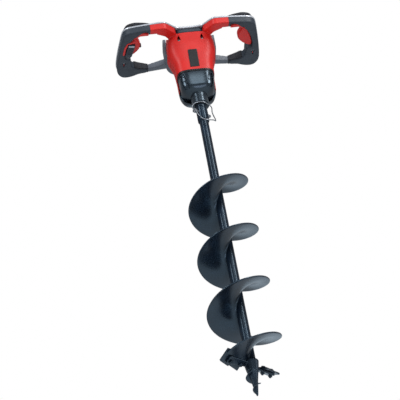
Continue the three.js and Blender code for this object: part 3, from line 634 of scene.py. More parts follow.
def offset_line(points, distance):
    """An open line moved sideways: positive is to the right of its direction."""
    points = np.asarray(points, float)
    steps = np.diff(points, axis=0)
    normals = np.column_stack([steps[:, 1], -steps[:, 0]]) / np.linalg.norm(steps, axis=1)[:, None]
    before = np.concatenate([normals[:1], normals])
    after = np.concatenate([normals, normals[-1:]])
    stretch = distance / (1 + (before * after).sum(axis=1))
    return points + (before + after) * stretch[:, None]


# ---- trim strip ----
def strip_outline(grow):
    edge = ARM_FRONT[:-1] + OUTER_EDGE[1:11]
    whole = mirrored(edge)[:-1] + edge
    return np.concatenate([offset_line(whole, 1.5 + grow), offset_line(whole, -7 - grow)[::-1]])


def strip_seat():
    return slab(strip_outline(0.25), STRIP_LOW - 0.25, STRIP_HIGH + 0.25, 0, 12)


def make_strip():
    strip = slab(strip_outline(0), STRIP_LOW, STRIP_HIGH, 0.9, 12)
    finished(tilted(smooth(strip, 50)), "trim_strip", "silver_trim")


# ---- triggers, lock button and slider ----
TRIGGER_INNER = [(142, -59), (136, -57), (129, -43), (123, -25), (126, -8), (136, 7), (146, 17), (156, 22.5)]
TRIGGER_OUTER = [(163, 22), (162, 4), (155, -27)]
TRIGGER_TRAVEL = 5
TRIGGER_LOW, TRIGGER_HIGH = -11, 4
LOCK_Y, LOCK_HEIGHT, LOCK_RADIUS = -16, -4.6, 5.8
SLIDER = [(-154, -36), (-136.5, -33), (-147.5, 16), (-165, 16)]
SLIDER_TRAVEL = 3


def trigger_room():
    pressed = [(x + TRIGGER_TRAVEL + 0.7, y) for x, y in TRIGGER_OUTER + TRIGGER_INNER[:1]]
    outline = inset(TRIGGER_INNER + pressed, -GAP - 0.1)
    return slab(outline, TRIGGER_LOW - GAP, TRIGGER_HIGH + GAP, 0, 1.5)


def slider_room():
    travel = (-SLIDER_TRAVEL, 0, SLIDER_TRAVEL)
    outlines = [inset([(x, y + move) for x, y in SLIDER], -0.8) for move in travel]
    return join(*[slab(outline, LOWER_FACE - 5, TRIGGER_LOW, 0, 1.5) for outline in outlines])


def make_triggers():
    right = slab(TRIGGER_INNER + TRIGGER_OUTER, TRIGGER_LOW, TRIGGER_HIGH, 3.4, 9, 6)
    left = other_side(right)
    for paddle in (right, left):
        moulded(paddle, 0.55, 5)
    bore = shifted(lying(rod(LOCK_RADIUS + 0.5, 110, 143), "X"), 0, LOCK_Y, LOCK_HEIGHT)
    left = smooth(cut(left, moved(bore, MIRROR)), 45)
    finished(tilted(right), "right_trigger", "red_plastic", "right_trigger")
    finished(tilted(left), "left_trigger", "red_plastic", "left_trigger")


def make_lock_button():
    inner, outer, wide = -137, -121.5, LOCK_RADIUS
    profile = [(0, inner), (wide - 0.4, inner), (wide - 0.2, inner + 0.3), (wide - 0.2, outer - 5.5)]
    profile += [(wide - 0.9, outer - 5), (wide - 0.9, outer - 4.4), (wide, outer - 4), (wide, outer - 1.6)]
    profile += [(wide - 0.5, outer - 0.6), (wide - 1.6, outer), (wide - 2.4, outer - 0.1)]
    button = lying(turned([*profile, (2, outer - 0.9), (0, outer - 1)], 72), "X")

    def knurl(places, normals):
        angle = np.arctan2(places[:, 2], places[:, 1])
        radius = np.hypot(places[:, 1], places[:, 2])
        rim = (radius > wide - 0.1) & (places[:, 0] > outer - 4.2)
        return -(places * (0, 1, 1)) * (rim * 0.05 * (np.cos(angle * 18) > 0))[:, None]

    pushed(button, knurl)
    shifted(button, 0, LOCK_Y, LOCK_HEIGHT)
    finished(tilted(smooth(button)), "lock_button", "black_plastic", "lock_button")


def make_slider():
    low, high = LOWER_FACE - 2.5, TRIGGER_LOW - GAP
    slider = slab(SLIDER, low, high, 1.2, 3)
    grooves = []
    direction = np.array([-13, 65]) / math.hypot(13, 65)
    middle = np.mean(SLIDER, axis=0)
    facing = spin(math.atan2(direction[1], direction[0]), "Z")
    for i in range(-4, 5):
        centre = middle + direction * i * 3.2
        groove = box(-0.6, 0.6, -6, 6, low - 1, low + 0.7)
        grooves.append(shifted(moved(groove, facing), *centre))
    slider = edged(cut(slider, *grooves), 0.2, 2)
    mark = [(-153, -34.5), (-138.5, -32), (-139.6, -27), (-154, -29.5)]
    facet = slab(mark, low - 0.4, low + 0.8, 0.3, 1)
    added(tilted(facet), "direction_slider_mark", "silver_trim", "direction_slider")
    finished(tilted(slider), "direction_slider", "slate_plastic", "direction_slider")


# ---- grips, palm covers, rear sleeves ----
SLEEVE = [(SLEEVE_END, 99.5), (SLEEVE_END, 80.5), (129, 77), (141, 69), (147, 76), (143, 92), (131, 99.5)]
SLEEVE_LOW_FACE = LOWER_FACE + 2
COVER_HIGH = 19
COVER = [
    (88, -84), (100, -87), (133, -86), (147, -83), (156, -78), (162, -67), (166, -50), (171, -20), (176, 12),
    (181, 50), (183.5, 76), (180, 94), (172, 105), (152, 104), (150, 60), (150, 28), (158, 20), (154, -28),
    (142, -56), (126, -68), (88, -72),
]  # fmt: skip
SCREW = (167, 46, 4.2)  # x, y and head radius
SWITCH_ROOM = (168, 175, -13, 15, -11)  # both x, both y and the floor of the opening for the switch


def sloped_cut(x0, height0, x1, height1):
    """Everything above a slope that passes (x0, height0) and (x1, height1)."""
    above = box(-200, 200, -200, 200, 0, 100)
    slope = spin(-math.atan2(height1 - height0, x1 - x0), "Y")
    return shifted(moved(above, slope), x0, 0, height0)


def sleeve_room():
    return slab(inset(SLEEVE, -SEAM), SLEEVE_LOW_FACE - SEAM, 14, 0, 4)


# The wave-shaped step under the front corners, the red liner in it, and the red line beside the slider.
WAVE_LINE = [(86, -77), (99, -85), (107, -84.5), (119, -80.5), (126, -73), (131, -66), (141, -63.5)]
LINER = [(103, -66.5), (103, -72), (112, -77.5), (121, -77), (128, -69), (136, -60)]
LINER += [(141, -60.5), (137, -56.5), (124, -66.5)]
BEZEL = [(-167.5, 8), (-162.8, -22), (-155, -39.5), (-144, -43), (-136, -49)]


def grip_hollow():
    """The wave-edged hollow under each front corner of the bar."""
    return slab([*WAVE_LINE, (140, -58), (84, -58), (80, -70)], LOWER_FACE - 2, LOWER_FACE + 4, 0, 3)


def keyhole():
    """The long screw recess in the underside of a grip."""
    x, y, head = SCREW
    tail = [(x - 1.6, y), (x + 1.6, y), (x + 3, y + 15), (x, y + 15)]
    slot = slab(tail, LOWER_FACE - 1, LOWER_FACE + 3.4, 0, 1.2)
    profile = [(head + 0.4, LOWER_FACE + 4), (head + 0.4, LOWER_FACE + 1.2), (head + 1.4, LOWER_FACE - 1)]
    return join(slot, shifted(turned(profile, 48), x, y))


def make_grips():
    outline = [(RED_END - 6, -90), *OUTER_EDGE[1:], *INNER_EDGE[:-1], (RED_END - 6, BAR_REAR)]
    grip = slab(outline, LOWER_FACE, STRIP_HIGH, 3.6, 9, 6)
    near = RED_END + 3
    front_room = [(near, -84), (148, -78), (156, -74), (158, -68), (150, -66), (128, -73), (near, -72)]
    rear_room = [(153, 66), (154, 38), (176, 38), (180, 70), (178, 92), (162, 104), (153, 100)]
    x, y, _ = SCREW
    right = moulded(grip, 0.8, 2)
    left = other_side(right)
    for side, shell in (("right", right), ("left", left)):
        flip = MIRROR if side == "left" else Matrix.Identity(4)
        beyond = box(RED_END + SEAM, 300, -300, 300, -50, 50)
        rooms = [slab(front_room, LOWER_FACE + 7, 10, 0, 2), slab(rear_room, LOWER_FACE + 5, 10, 0, 2)]
        shell = cut(within(shell, moved(beyond, flip)), *[moved(room, flip) for room in rooms])
        shell = join(shell, moved(rod(7, LOWER_FACE + 2, STRIP_HIGH - 1, x, y), flip))
        rooms = [box(*SWITCH_ROOM, STRIP_HIGH + 1), sleeve_room(), trigger_room(), grip_hollow(), keyhole()]
        shell = cut(shell, *[moved(room, flip) for room in rooms], strip_seat())
        if side == "left":
            shell = cut(shell, slider_room())
        finished(tilted(smooth(shell, CREASE)), side + "_grip", "slate_plastic")


def make_grip_trims():
    """Red parts let into the underside of the grips."""
    liner = edged(slab(LINER, LOWER_FACE + 0.8, LOWER_FACE + 6, 0, 1.5), 0.5, 3, 40)
    x, y, _ = SCREW
    tail = [(x - 1, y + 3), (x + 1, y + 3), (x + 2.4, y + 14), (x + 0.4, y + 14)]
    floor = slab(tail, LOWER_FACE + 2.6, LOWER_FACE + 3.6, 0.3, 0.8)
    for piece, what in ((liner, "grip_liner"), (floor, "keyhole_floor")):
        added(tilted(other_side(piece)), "left_" + what, "red_plastic")
        added(tilted(piece), "right_" + what, "red_plastic")
    band = np.concatenate([offset_line(BEZEL, 2.5), offset_line(BEZEL, -2.5)[::-1]])
    bezel = cut(slab(band, LOWER_FACE - 0.9, LOWER_FACE + 1, 0.6, 4), slider_room())
    added(tilted(smooth(bezel, 50)), "left_bezel", "red_plastic")


def make_palm_covers():
    cover = slab(COVER, STRIP_HIGH + GAP, COVER_HIGH, 5.5, 10, 6)
    cover = cut(cover, sloped_cut(88, STRIP_HIGH + 2, 140, COVER_HIGH), sleeve_room())
    cover = moulded(cover, 0.9, 8)

    def dimples(places, normals):
        """A field of small round studs on the crown of the cover."""
        pitch, rows = 4.6, 0.87
        row = np.round(places[:, 1] / (pitch * rows))
        x = places[:, 0] - pitch / 2 * (row % 2)
        near = np.hypot(x - np.round(x / pitch) * pitch, places[:, 1] - row * pitch * rows)
        crown = np.clip((normals[:, 2] - 0.75) / 0.15, 0, 1) * np.clip((places[:, 0] - 138) / 6, 0, 1)
        return normals * (crown * 0.45 * np.clip(1.5 - near, -0.6, 0.4))[:, None]

    finished_pair(tilted(pushed(cover, dimples)), "palm_cover", "soft_rubber")


def make_sleeves():
    outline = [(SLEEVE_END - 5, 99.5), (SLEEVE_END - 5, 80), *SLEEVE[1:]]
    sleeve = slab(outline, SLEEVE_LOW_FACE, 9, 2.8, 4, 5)
    sleeve = moulded(cut(sleeve, sloped_cut(SLEEVE_END, 2, 147, 12)), 0.5, 3)
    sleeve = within(sleeve, box(SLEEVE_END + SEAM, 200, -200, 200, -100, 100))

    def ribs(places, normals):
        """Ribs across the bar, left out on its ends."""
        phase = (places[:, 0] - SLEEVE_END) / 3.6
        wave = np.clip(np.abs((phase % 1) - 0.5) * 4 - 0.6, 0, 1)
        sides = 1 - np.clip((np.abs(normals[:, 0]) - 0.75) / 0.2, 0, 1)
        return -normals * (wave * sides * 0.5)[:, None]

    finished_pair(tilted(smooth(pushed(sleeve, ribs), 60)), "rear_sleeve", "soft_rubber")


def screw(radius, thickness, socket):
    """A pan head with a six-lobed socket in its lower face; the head's top is at 0."""
    dome = [(0, 0), (radius - 0.5, 0), (radius, -0.4), (radius, -thickness + 0.8)]
    dome += [(radius * 0.82, -thickness + 0.2), (radius * 0.5, -thickness), (0, -thickness)]
    head = turned(dome, 48)
    star = circle(socket * (0.84 + 0.16 * np.cos(6 * full_turn(72))), 72)
    return smooth(cut(head, skin([level(star, -thickness - 1), level(star, -thickness + 1.3)])))


def make_grip_screws():
    x, y, head = SCREW
    one = shifted(screw(head - 0.1, 2.4, 2.2), x, y, LOWER_FACE + 3.6)
    finished_pair(tilted(one), "grip_screw", "screw_steel")


# ---- battery dock ----
DOCK_HALF, DOCK_FRONT, DOCK_REAR, DOCK_LOW, DECK, RAIL = 50, -60, 82, -10, 9, 17


def dock_outline(grow):
    half, nose = DOCK_HALF + grow, 28 + grow
    corner, front, rear = -40 - grow, DOCK_FRONT - grow, DOCK_REAR + grow
    return [(-half, rear), (-half, corner), (-nose, front), (nose, front), (half, corner), (half, rear)]


def dock_room():
    return tilted(slab(dock_outline(GAP), DOCK_LOW - GAP, 80, 0, 1))


def make_dock():
    dock = slab(dock_outline(0), DOCK_LOW, DECK, 2, 3)
    dock = cut(dock, slab(inset(dock_outline(0), 3), DOCK_LOW - 1, DECK - 3, 0, 1))
    rails = []
    for x0, x1, lip0, lip1 in ((-44, -36, -44, -31), (36, 44, 31, 44)):
        rails.append(join(box(x0, x1, -30, 74, DECK - 1, RAIL), box(lip0, lip1, -30, 74, RAIL - 4, RAIL)))
    grooves = [box(-24, 24, y, y + 1.6, DECK - 0.8, DECK + 1) for y in range(-26, 34, 6)]
    latch = slab(rectangle(-12, 12, -44, -36), DECK - 3, DECK + 2, 0, 2)
    dock = cut(dock, box(-17.3, 17.3, 43.7, 62.3, 0, 20), latch, *grooves)
    dock = edged(cut(join(dock, *rails), strip_seat()), 0.5, 3, 40)
    finished(tilted(dock), "battery_dock", "slate_plastic")


# ---- housings: rows of height above the tip, half width, front depth and rear depth ----
PARTING = 12
CUP_TOP = 887  # where the red shell starts above the gear case
FRONT_SECTIONS = [
    (CUP_TOP, 47.5, 37, 40), (904, 48.5, 38.5, 40), (920, 50.5, 40, 40), (936, 55.5, 42, 40),
    (952, 60, 45, 40), (968, 61.5, 49, 40), (982, 61, 54, 40), (994, 58, 58.5, 40),
]  # fmt: skip
REAR_SECTIONS = [
    (816, 22, 22, 22), (824, 35, 34, 35), (836, 42.5, 40, 42), (852, 46, 40, 45), (905, 47, 40, 46),
    (932, 49, 40, 47), (948, 52.5, 40, 51.5), (962, 62, 40, 62), (984, 65.5, 40, 82), (1040, 66, 40, 92),
]  # fmt: skip
CASE_SECTIONS = [
    (826, 25, 23, 23), (831, 33, 28, 32), (840, 40, 33.5, 39), (852, 43, 35.5, 42), (879.5, 44, 37, 43.5),
    (880.5, 43, 34.6, 43.5), (905, 43, 34.6, 43.5),
]  # fmt: skip
PLATE_LOW, PLATE_HIGH, PLATE_HALF, PLATE_THICK = 894, 947, 11.3, 1.4
PLATE_LEAN = math.atan2(45 - 38.2, 952 - 900)  # of the red face behind the nameplate
PLATE_FRAME = shift(0, -41.1, up((PLATE_LOW + PLATE_HIGH) / 2)) @ spin(PLATE_LEAN, "X")
FACE_SCREW = (29, 978, 4)  # x, height and head radius


def case_room():
    return housing(CASE_SECTIONS, -GAP, low=825)


def arms():
    outline = [*ARM_FRONT[2:-1], (RED_END + 6, -89.9), (RED_END + 6, BAR_REAR), *ARM_REAR[1:], (30, -38)]
    right = slab(outline, LOWER_FACE, STRIP_HIGH, 2.2, 4, 5)
    return tilted(join(right, other_side(right)))


def tongues():
    """Cheeks of the front shell that run down each side of the gear case."""
    half, front, low, high = 47.6, 4.6, 850, 894
    whole = housing([(low, 46, 37, 40), (high, half, 37, 40)])
    band = box_up(-half, half, front, PARTING, low, high)
    return cut(within(whole, band), box_up(-half + 2.5, half - 2.5, -40, 40, low - 1, CUP_TOP))


def face_rod(radius, x, height, y0, y1):
    return shifted(lying(rod(radius, y0, y1), "Y"), x, 0, up(height))


def plate_block(grow):
    half, thick, tall = PLATE_HALF + grow, PLATE_THICK / 2 + grow, (PLATE_HIGH - PLATE_LOW) / 2 + grow
    return moved(slab(rectangle(-half, half, -tall, tall), -thick, thick, 0, 2.5), PLATE_FRAME @ UPRIGHT)


def make_front_housing():
    shell = moulded(join(housing([(880, 47, 36.4, 40), *FRONT_SECTIONS]), arms()), 0.9, 3)
    flat_ends = box(-RED_END + SEAM, RED_END - SEAM, -300, PARTING, up(CUP_TOP), 200)
    shell = join(within(shell, flat_ends), tongues())
    shell = cut(shell, housing(FRONT_SECTIONS, 3, low=870, high=1060), dock_room(), case_room())
    # Cheeks close the sides between the dock and the lip of the rear housing.
    for left_edge, right_edge in ((-58, -50.6), (50.6, 58)):
        shell = join(shell, box_up(left_edge, right_edge, -24, PARTING, 984, 1008))
    x, height, head = FACE_SCREW
    for side in (-x, x):
        shell = join(shell, within(face_rod(7, side, height, -49, -36), housing(FRONT_SECTIONS)))
    vents = [box(-80, 80, -14, 4, up(h), up(h) + 3.2) for h in np.arange(897, 940, 7.5)]
    wells = []
    for side in (-x, x):
        # A round well whose mouth opens upwards into a drop shape.
        well = face_rod(head + 0.5, side, height, -80, -46)
        mouth = [(-head - 0.5, 0), (head + 0.5, 0), (1.2, 10), (-1.2, 10)]
        drop = moved(slab(mouth, 46, 80, 0, 2), UPRIGHT)
        wells.append(join(well, shifted(drop, side, 0, up(height))))
    hollows = [tilted(grip_hollow()), tilted(moved(grip_hollow(), MIRROR))]
    shell = cut(shell, plate_block(GAP), *vents, *wells, *hollows, tilted(strip_seat()))
    finished(smooth(shell, CREASE), "front_housing", "red_plastic")


def make_nameplate():
    plate = edged(plate_block(0), 0.35, 3, 30)
    smaller = shift(0, -1.1) @ Matrix.Diagonal((0.8, 1, 0.92, 1))
    field = moved(plate_block(0), PLATE_FRAME @ smaller @ PLATE_FRAME.inverted())
    label = moulded_plastic("blank_label", "121418", "0e1013", "3a3e44", 0.5, 0.6)
    plate = smooth(cut(plate, field))
    finished(plate, "nameplate", "gloss_black_case", look=label)


def make_face_screws():
    x, height, head = FACE_SCREW
    for side, name in ((-x, "left_housing_screw"), (x, "right_housing_screw")):
        one = moved(screw(head - 0.1, 2.1, 2.1), UPRIGHT.inverted())
        finished(shifted(one, side, -46.4, up(height)), name, "screw_steel")


def make_rear_housing():
    end = SLEEVE_END + 5
    outline = [(end, 98.5), (SLEEVE_END, 98), (66, 93), (36, 90)]
    outline += [(36, 68), (60, 72), (SLEEVE_END, 82), (end, 82.5)]
    arm = slab(outline, LOWER_FACE + 2, STRIP_HIGH + 2, 2.8, 5, 5)
    arm = cut(arm, sloped_cut(60, STRIP_HIGH + 1, 105, 1))
    rear_arms = tilted(join(arm, other_side(arm)))
    top = tilted(box(-200, 200, -200, 200, STRIP_HIGH, 300))
    lip = within(housing(REAR_SECTIONS), box(-200, 200, -15, PARTING + 2, up(958), 200))
    around = housing([(940, 55.5, 42, 40), *FRONT_SECTIONS[4:]], -0.3, high=1080)
    lip = cut(lip, around, copy(top))
    shell = moulded(join(cut(housing(REAR_SECTIONS), top), rear_arms), 1.0, 4)
    shell = cut(shell, housing(REAR_SECTIONS, 3, low=819, high=1080))
    flat_ends = box(-SLEEVE_END + SEAM, SLEEVE_END - SEAM, PARTING + SEAM, 300, -400, 200)
    shell = join(within(shell, flat_ends), lip)
    shell = cut(shell, rod(22.5, up(790), up(842)), dock_room(), case_room(), arms())
    # A row of air slots across the back.
    slots = [box(-22, 22, 30, 60, up(h), up(h) + 2.6) for h in np.arange(866, 902, 6.5)]
    shell = cut(shell, *slots)
    change = 885  # where the gloss black of the lower case begins
    lower = within(copy(shell), box(-200, 200, -300, 300, -400, up(change)))
    added(smooth(lower, CREASE), "rear_lower_case_fine", "gloss_black_case")
    shell = cut(shell, box(-200, 200, -300, 300, -400, up(change) + SEAM))
    finished(smooth(shell, CREASE), "rear_housing", "grey_plastic")


# ---- gear case with its front shield, collar and hub ----
HUB_RADIUS, HUB_LOW = 21.5, 796


def make_gear_case():
    heights, halves, fronts, rears = np.array(CASE_SECTIONS, float).T
    count = 480  # fine enough for the edges of the recesses

    def round_rings(*profile):
        return [section(radius, radius, radius, up(height), 2, count) for radius, height in profile]

    wide, low = HUB_RADIUS, HUB_LOW
    rings = round_rings((13, 797), (13.6, 796.2), (14.6, low), (wide - 1, low), (wide, 797), (wide, 811))
    rings += round_rings((wide - 0.8, 811.6), (wide - 0.8, 812.8), (wide, 813.4), (wide, 825))
    for h in np.arange(826, 905.1, 0.6):
        half, front, rear = (along(heights, values, h) for values in (halves, fronts, rears))
        ring = section(half, front, rear, up(h), 2.6 + 1.2 * min((h - 826) / 12, 1), count)
        # A broad shield stands proud of a ribbed recess, which ends at the rim of the case.
        across = np.abs(ring[:, 0])
        shield = 21 + 0.2 * (h - 830)
        recess = np.clip((across - shield) / 1.2, 0, 1) * np.clip((half - 4 - across) / 1.2, 0, 1)
        tall = np.clip((h - 833) / 2.4, 0, 1) * np.clip((878 - h) / 2.4, 0, 1)
        rib = np.clip(1.4 - abs((h - 836) % 14 - 7) * 0.8, 0, 1)
        depth = recess * tall * (6 - 1.4 * rib)
        ring[:, 1] += np.where(ring[:, 1] < -8, depth, 0)
        rings.append(ring)
    rings += round_rings((31, 905), (31, 848.5), (27, 848.4), (27, 838), (17.3, 837.9), (17.3, 803))
    rings += round_rings((13, 802.9))
    case = smooth(skin(rings, closed=True), 40)
    finished(case, "gear_case", "gloss_black_case")


def make_collar():
    low, high, half, front, rear = 881, 886.5, 46, 37.6, 40
    count, spacing, width = 15, 5.6, 2.2
    collar = housing([(low, half, front, rear), (high, half, front, rear)], step=1)
    collar = cut(collar, housing(CASE_SECTIONS, -GAP, low=825))
    collar = within(collar, box(-200, 200, -300, PARTING - 8, -400, 200))
    places = [(i - (count - 1) / 2) * spacing for i in range(count)]
    slots = [box_up(x - width / 2, x + width / 2, -60, -35.9, low + 1, high - 1) for x in places]
    collar = edged(cut(collar, *slots), 0.25, 2, 40)
    finished(collar, "case_collar", "black_plastic")


# ---- the drill ----
TUBE_RADIUS = 11
SLEEVE_RADIUS = 14
SLEEVE_LOW = 747
FLIGHT_RADIUS, FLIGHT_PITCH, FLIGHT_THICK = 75, 140, 3.2
FLIGHT_FIRST, FLIGHT_TURNS, FLIGHT_LOW = math.radians(-134), 3.59, 78.8  # start angle, turns, start height
PIN_HEIGHT, PIN_ANGLE, PIN_RADIUS = 772, math.radians(37), 4
PIN_FRAME = shift(0, 0, up(PIN_HEIGHT)) @ spin(PIN_ANGLE, "Z")


def pin_bore():
    return moved(lying(rod(PIN_RADIUS + GAP, -40, 40), "X"), PIN_FRAME)


def make_tube():
    tube = turned_up([(TUBE_RADIUS, h) for h in np.linspace(85.3, 757, 60)])
    dulled = coated_steel("handled_steel", 0.26)
    on_drill(smooth(tube), "auger_tube", dulled)
    root, low = TUBE_RADIUS + 0.1, SLEEVE_LOW
    profile = [(root, low - 3.6), (12.2, low - 3.2), (13.2, low - 2), (13.6, low - 0.6)]
    profile += [(SLEEVE_RADIUS, low + 0.3), (SLEEVE_RADIUS, 793.6), (SLEEVE_RADIUS - 0.9, 794.5)]
    profile += [(10.9, 794.5), (10.4, 794), (10.4, 757.6), (root, 757.5)]
    socket = turned_up(profile, 144, closed=True)

    def bead(places, normals):
        """The ripple of the weld under the sleeve."""
        angle = np.arctan2(places[:, 1], places[:, 0])
        near = np.clip(1 - np.abs(places[:, 2] - up(low - 2)) / 2.2, 0, 1)
        return normals * (near * (0.18 * np.cos(angle * 34) + 0.1 * np.cos(angle * 11 + 1)))[:, None]

    socket = smooth(cut(pushed(socket, bead), pin_bore()))
    on_drill(socket, "auger_sleeve", dulled)


def make_flight():
    """The helical blade: rounded rim, a welded root fillet and a faint ripple from rolling."""
    steps = round(FLIGHT_TURNS * 150)
    radii = np.array([10.9, 11.6, 12.4, 13.4, 14.8, 18, 26, 36, 46, 56, 65, 71, 73.6, 74.5, 74.9])
    fillet = 2.6 * np.clip((14.8 - radii) / 3.6, 0, 1) ** 2
    rim = FLIGHT_THICK / 2 * np.sqrt(np.clip(1 - np.clip((radii - 73.4) / 1.6, 0, 1) ** 2, 0, 1))
    half = rim + fillet
    outline = np.concatenate([radii, [FLIGHT_RADIUS], radii[::-1]])
    height = np.concatenate([-half, [0], half[::-1]])
    welded = np.concatenate([fillet, [0], fillet[::-1]]) / 2.6
    rings = []
    for i in range(steps + 1):
        turn = FLIGHT_FIRST + i / steps * FLIGHT_TURNS * 2 * math.pi
        rise = up(FLIGHT_LOW) + i / steps * FLIGHT_TURNS * FLIGHT_PITCH
        beads = 1 + 0.16 * welded * math.sin(i * 1.9)
        wave = 0.25 * np.sin(turn * 5 + outline / 14) * (outline / FLIGHT_RADIUS)
        z = rise + height * beads + wave
        rings.append(np.column_stack([outline * math.cos(turn), outline * math.sin(turn), z]))
    flight = smooth(skin(rings), 50)
    on_drill(flight, "auger_flight")


# ---- tip: boss with carriers, blades, bolts and the pilot point ----
BLADE_SEATS = [(-139.3, 76.6, 0), (49, 69, 3.5)]  # degrees round, height at the axis, degrees of rise
BLADE_SLOPE = math.radians(24.8)
CARRIER_THICK, BLADE_THICK = 5, 4
CARRIER = [(8, -4), (63, -4), (63, 14), (8, 9)]
BLADE = [(20.5, -4), (58, -4), (58, -16), (76, -16), (76, 16), (49, 22.5), (49, 19.5), (20.5, 26.5)]
BOLTS = [(29, 7), (55, 8)]
BOLT_RADIUS, BOLT_HEAD, HEAD_HEIGHT, NUT_HEIGHT, BOLT_TAIL = 2.5, 4.6, 3.5, 4.2, 2


def seat_frame(angle, height, rise):
    """Local x runs outwards, y forwards down the slope, z up through the plate."""
    return (
        spin(math.radians(angle), "Z")
        @ shift(0, 0, up(height))
        @ spin(-math.radians(rise), "Y")
        @ spin(BLADE_SLOPE, "X")
        @ Matrix.Scale(-1, 4, Vector((0, 1, 0)))
    )


def hexagon(low, high, chamfer_low, chamfer_high):
    """A hexagon head or nut whose corners are turned off at the chosen ends."""
    block = turned([(BOLT_HEAD, low), (BOLT_HEAD, high)], 6)
    cone = [(BOLT_HEAD - (1.0 if chamfer_low else -1), low - 0.01), (BOLT_HEAD + 0.4, low + 0.8)]
    cone += [(BOLT_HEAD + 0.4, high - 0.8), (BOLT_HEAD - (1.0 if chamfer_high else -1), high + 0.01)]
    return within(block, turned(cone, 48))


def bolt():
    head_low = BLADE_THICK + 2 * GAP
    nut_top = -CARRIER_THICK - GAP
    low = nut_top - NUT_HEIGHT - BOLT_TAIL
    shank = [(0, low), (BOLT_RADIUS - 0.7, low), (BOLT_RADIUS - 0.2, low + 0.5)]
    root = BOLT_RADIUS - 0.45
    for h in np.arange(low + 0.6, head_low - 0.5, 1.0):
        shank += [(BOLT_RADIUS, h), (BOLT_RADIUS, h + 0.25), (root, h + 0.6), (root, h + 0.8)]
    shank += [(BOLT_RADIUS, head_low + 1), (0, head_low + 1)]
    washer = rod(BOLT_HEAD, head_low, head_low + 0.9)
    head = join(hexagon(head_low + 0.8, head_low + HEAD_HEIGHT, False, True), washer)
    nut = hexagon(nut_top - NUT_HEIGHT, nut_top, True, True)
    return edged(join(turned(shank, 32), head, nut), 0.15, 2, 40)


def bolt_bores():
    return [rod(BOLT_RADIUS + GAP, -20, 20, x, y) for x, y in BOLTS]


def make_tip():
    profile = [(0, 55.9), (11.6, 56), (12.6, 56.8)]
    profile += [(16.0, 77.5), (16.3, 79), (16.0, 80), (12.6, 84.3), (11.4, 85), (0, 85)]
    boss = turned_up(profile)
    grinding = spin(-math.radians(38), "X")
    for side, (angle, height, rise) in enumerate(BLADE_SEATS, 1):
        seat = seat_frame(angle, height, rise)
        boss = join(boss, moved(cut(slab(CARRIER, -CARRIER_THICK, 0, 0.6, 2), *bolt_bores()), seat))
        blade = slab(BLADE, GAP, GAP + BLADE_THICK, 0.5, 1.2)
        # The forward edge is ground from above.
        for x0, x1, y in ((20, 49, 21), (49, 77, 17.2)):
            blade = cut(blade, shifted(moved(box(x0, x1, 0, 30, 0, 30), grinding), 0, y, GAP + BLADE_THICK))
        blade = edged(cut(blade, *bolt_bores()), 0.3, 2, 30)
        on_drill(moved(blade, seat), f"cutting_blade_{side}")
        for i, (x, y) in enumerate(BOLTS, 1):
            on_drill(moved(shifted(bolt(), x, y), seat), f"blade_bolt_{side}_{i}")
    boss = moulded(boss, 0.55, 4)
    on_drill(boss, "tip_boss")


def make_pilot():
    top, pitch, low, high, reference, angle = 55.7, 30, 4, 50, 43, math.radians(173.4)
    core = [(0, 0), (1.4, 1.2), (2.4, 3.5), (4.8, 18), (7.6, 36), (11.6, top - 0.4), (11.6, top), (0, top)]
    pilot = turned_up(core, 72)
    rings = []
    for u in np.linspace(0, 1, 160):
        h = low + u * (high - low)
        outer = 3 + min(h, reference) / 3
        turn = angle + (h - reference) / pitch * 2 * math.pi
        radii = np.array([0.8, 0.8, outer * 0.6, outer - 0.5, outer, outer - 0.5, outer * 0.6])
        rise = np.array([-1.5, 1.5, 1.4, 0.75, 0, -0.75, -1.4])
        rings.append(np.column_stack([radii * math.cos(turn), radii * math.sin(turn), up(h) + rise]))
    pilot = smooth(join(pilot, skin(rings)), 45)
    on_drill(pilot, "pilot_point")


# ---- cross pin and its wire bow ----
# Degrees round the drill from the pin, distance from the drill's axis, and height above the pin.
BOW = [
    (177, 26.5, 12), (184, 25, 18), (196, 22.8, 20.5), (222, 22, 19.6), (248, 22, 18), (281, 22.5, 14.5),
    (313, 25, 12.5), (346, 28.3, 10.5), (344, 30, -3), (337, 31, -17), (329, 29, -25), (303, 25, -32),
    (256, 22, -38.5), (227, 22, -35), (206, 22, -22), (196, 23, -12),
]  # fmt: skip
BOW_ALONG, BOW_LEAN, BOW_REACH = -22.5, math.radians(35), 7.2


def curve_through(points, steps):
    """A centripetal Catmull-Rom curve through every point."""
    points = np.asarray(points, float)
    points = np.concatenate([2 * points[:1] - points[1:2], points, 2 * points[-1:] - points[-2:-1]])
    curve = []
    for a, b, c, d in zip(points, points[1:], points[2:], points[3:]):
        knots = np.cumsum([0, *(np.sqrt(np.linalg.norm(q - p)) for p, q in ((a, b), (b, c), (c, d)))])
        for t in np.linspace(knots[1], knots[2], steps, endpoint=False):

            def between(p, q, i, j):
                return p + (q - p) * (t - knots[i]) / (knots[j] - knots[i])

            ab, bc, cd = between(a, b, 0, 1), between(b, c, 1, 2), between(c, d, 2, 3)
            curve.append(between(between(ab, bc, 0, 2), between(bc, cd, 1, 3), 1, 2))
    return np.array([*curve, points[-2]])


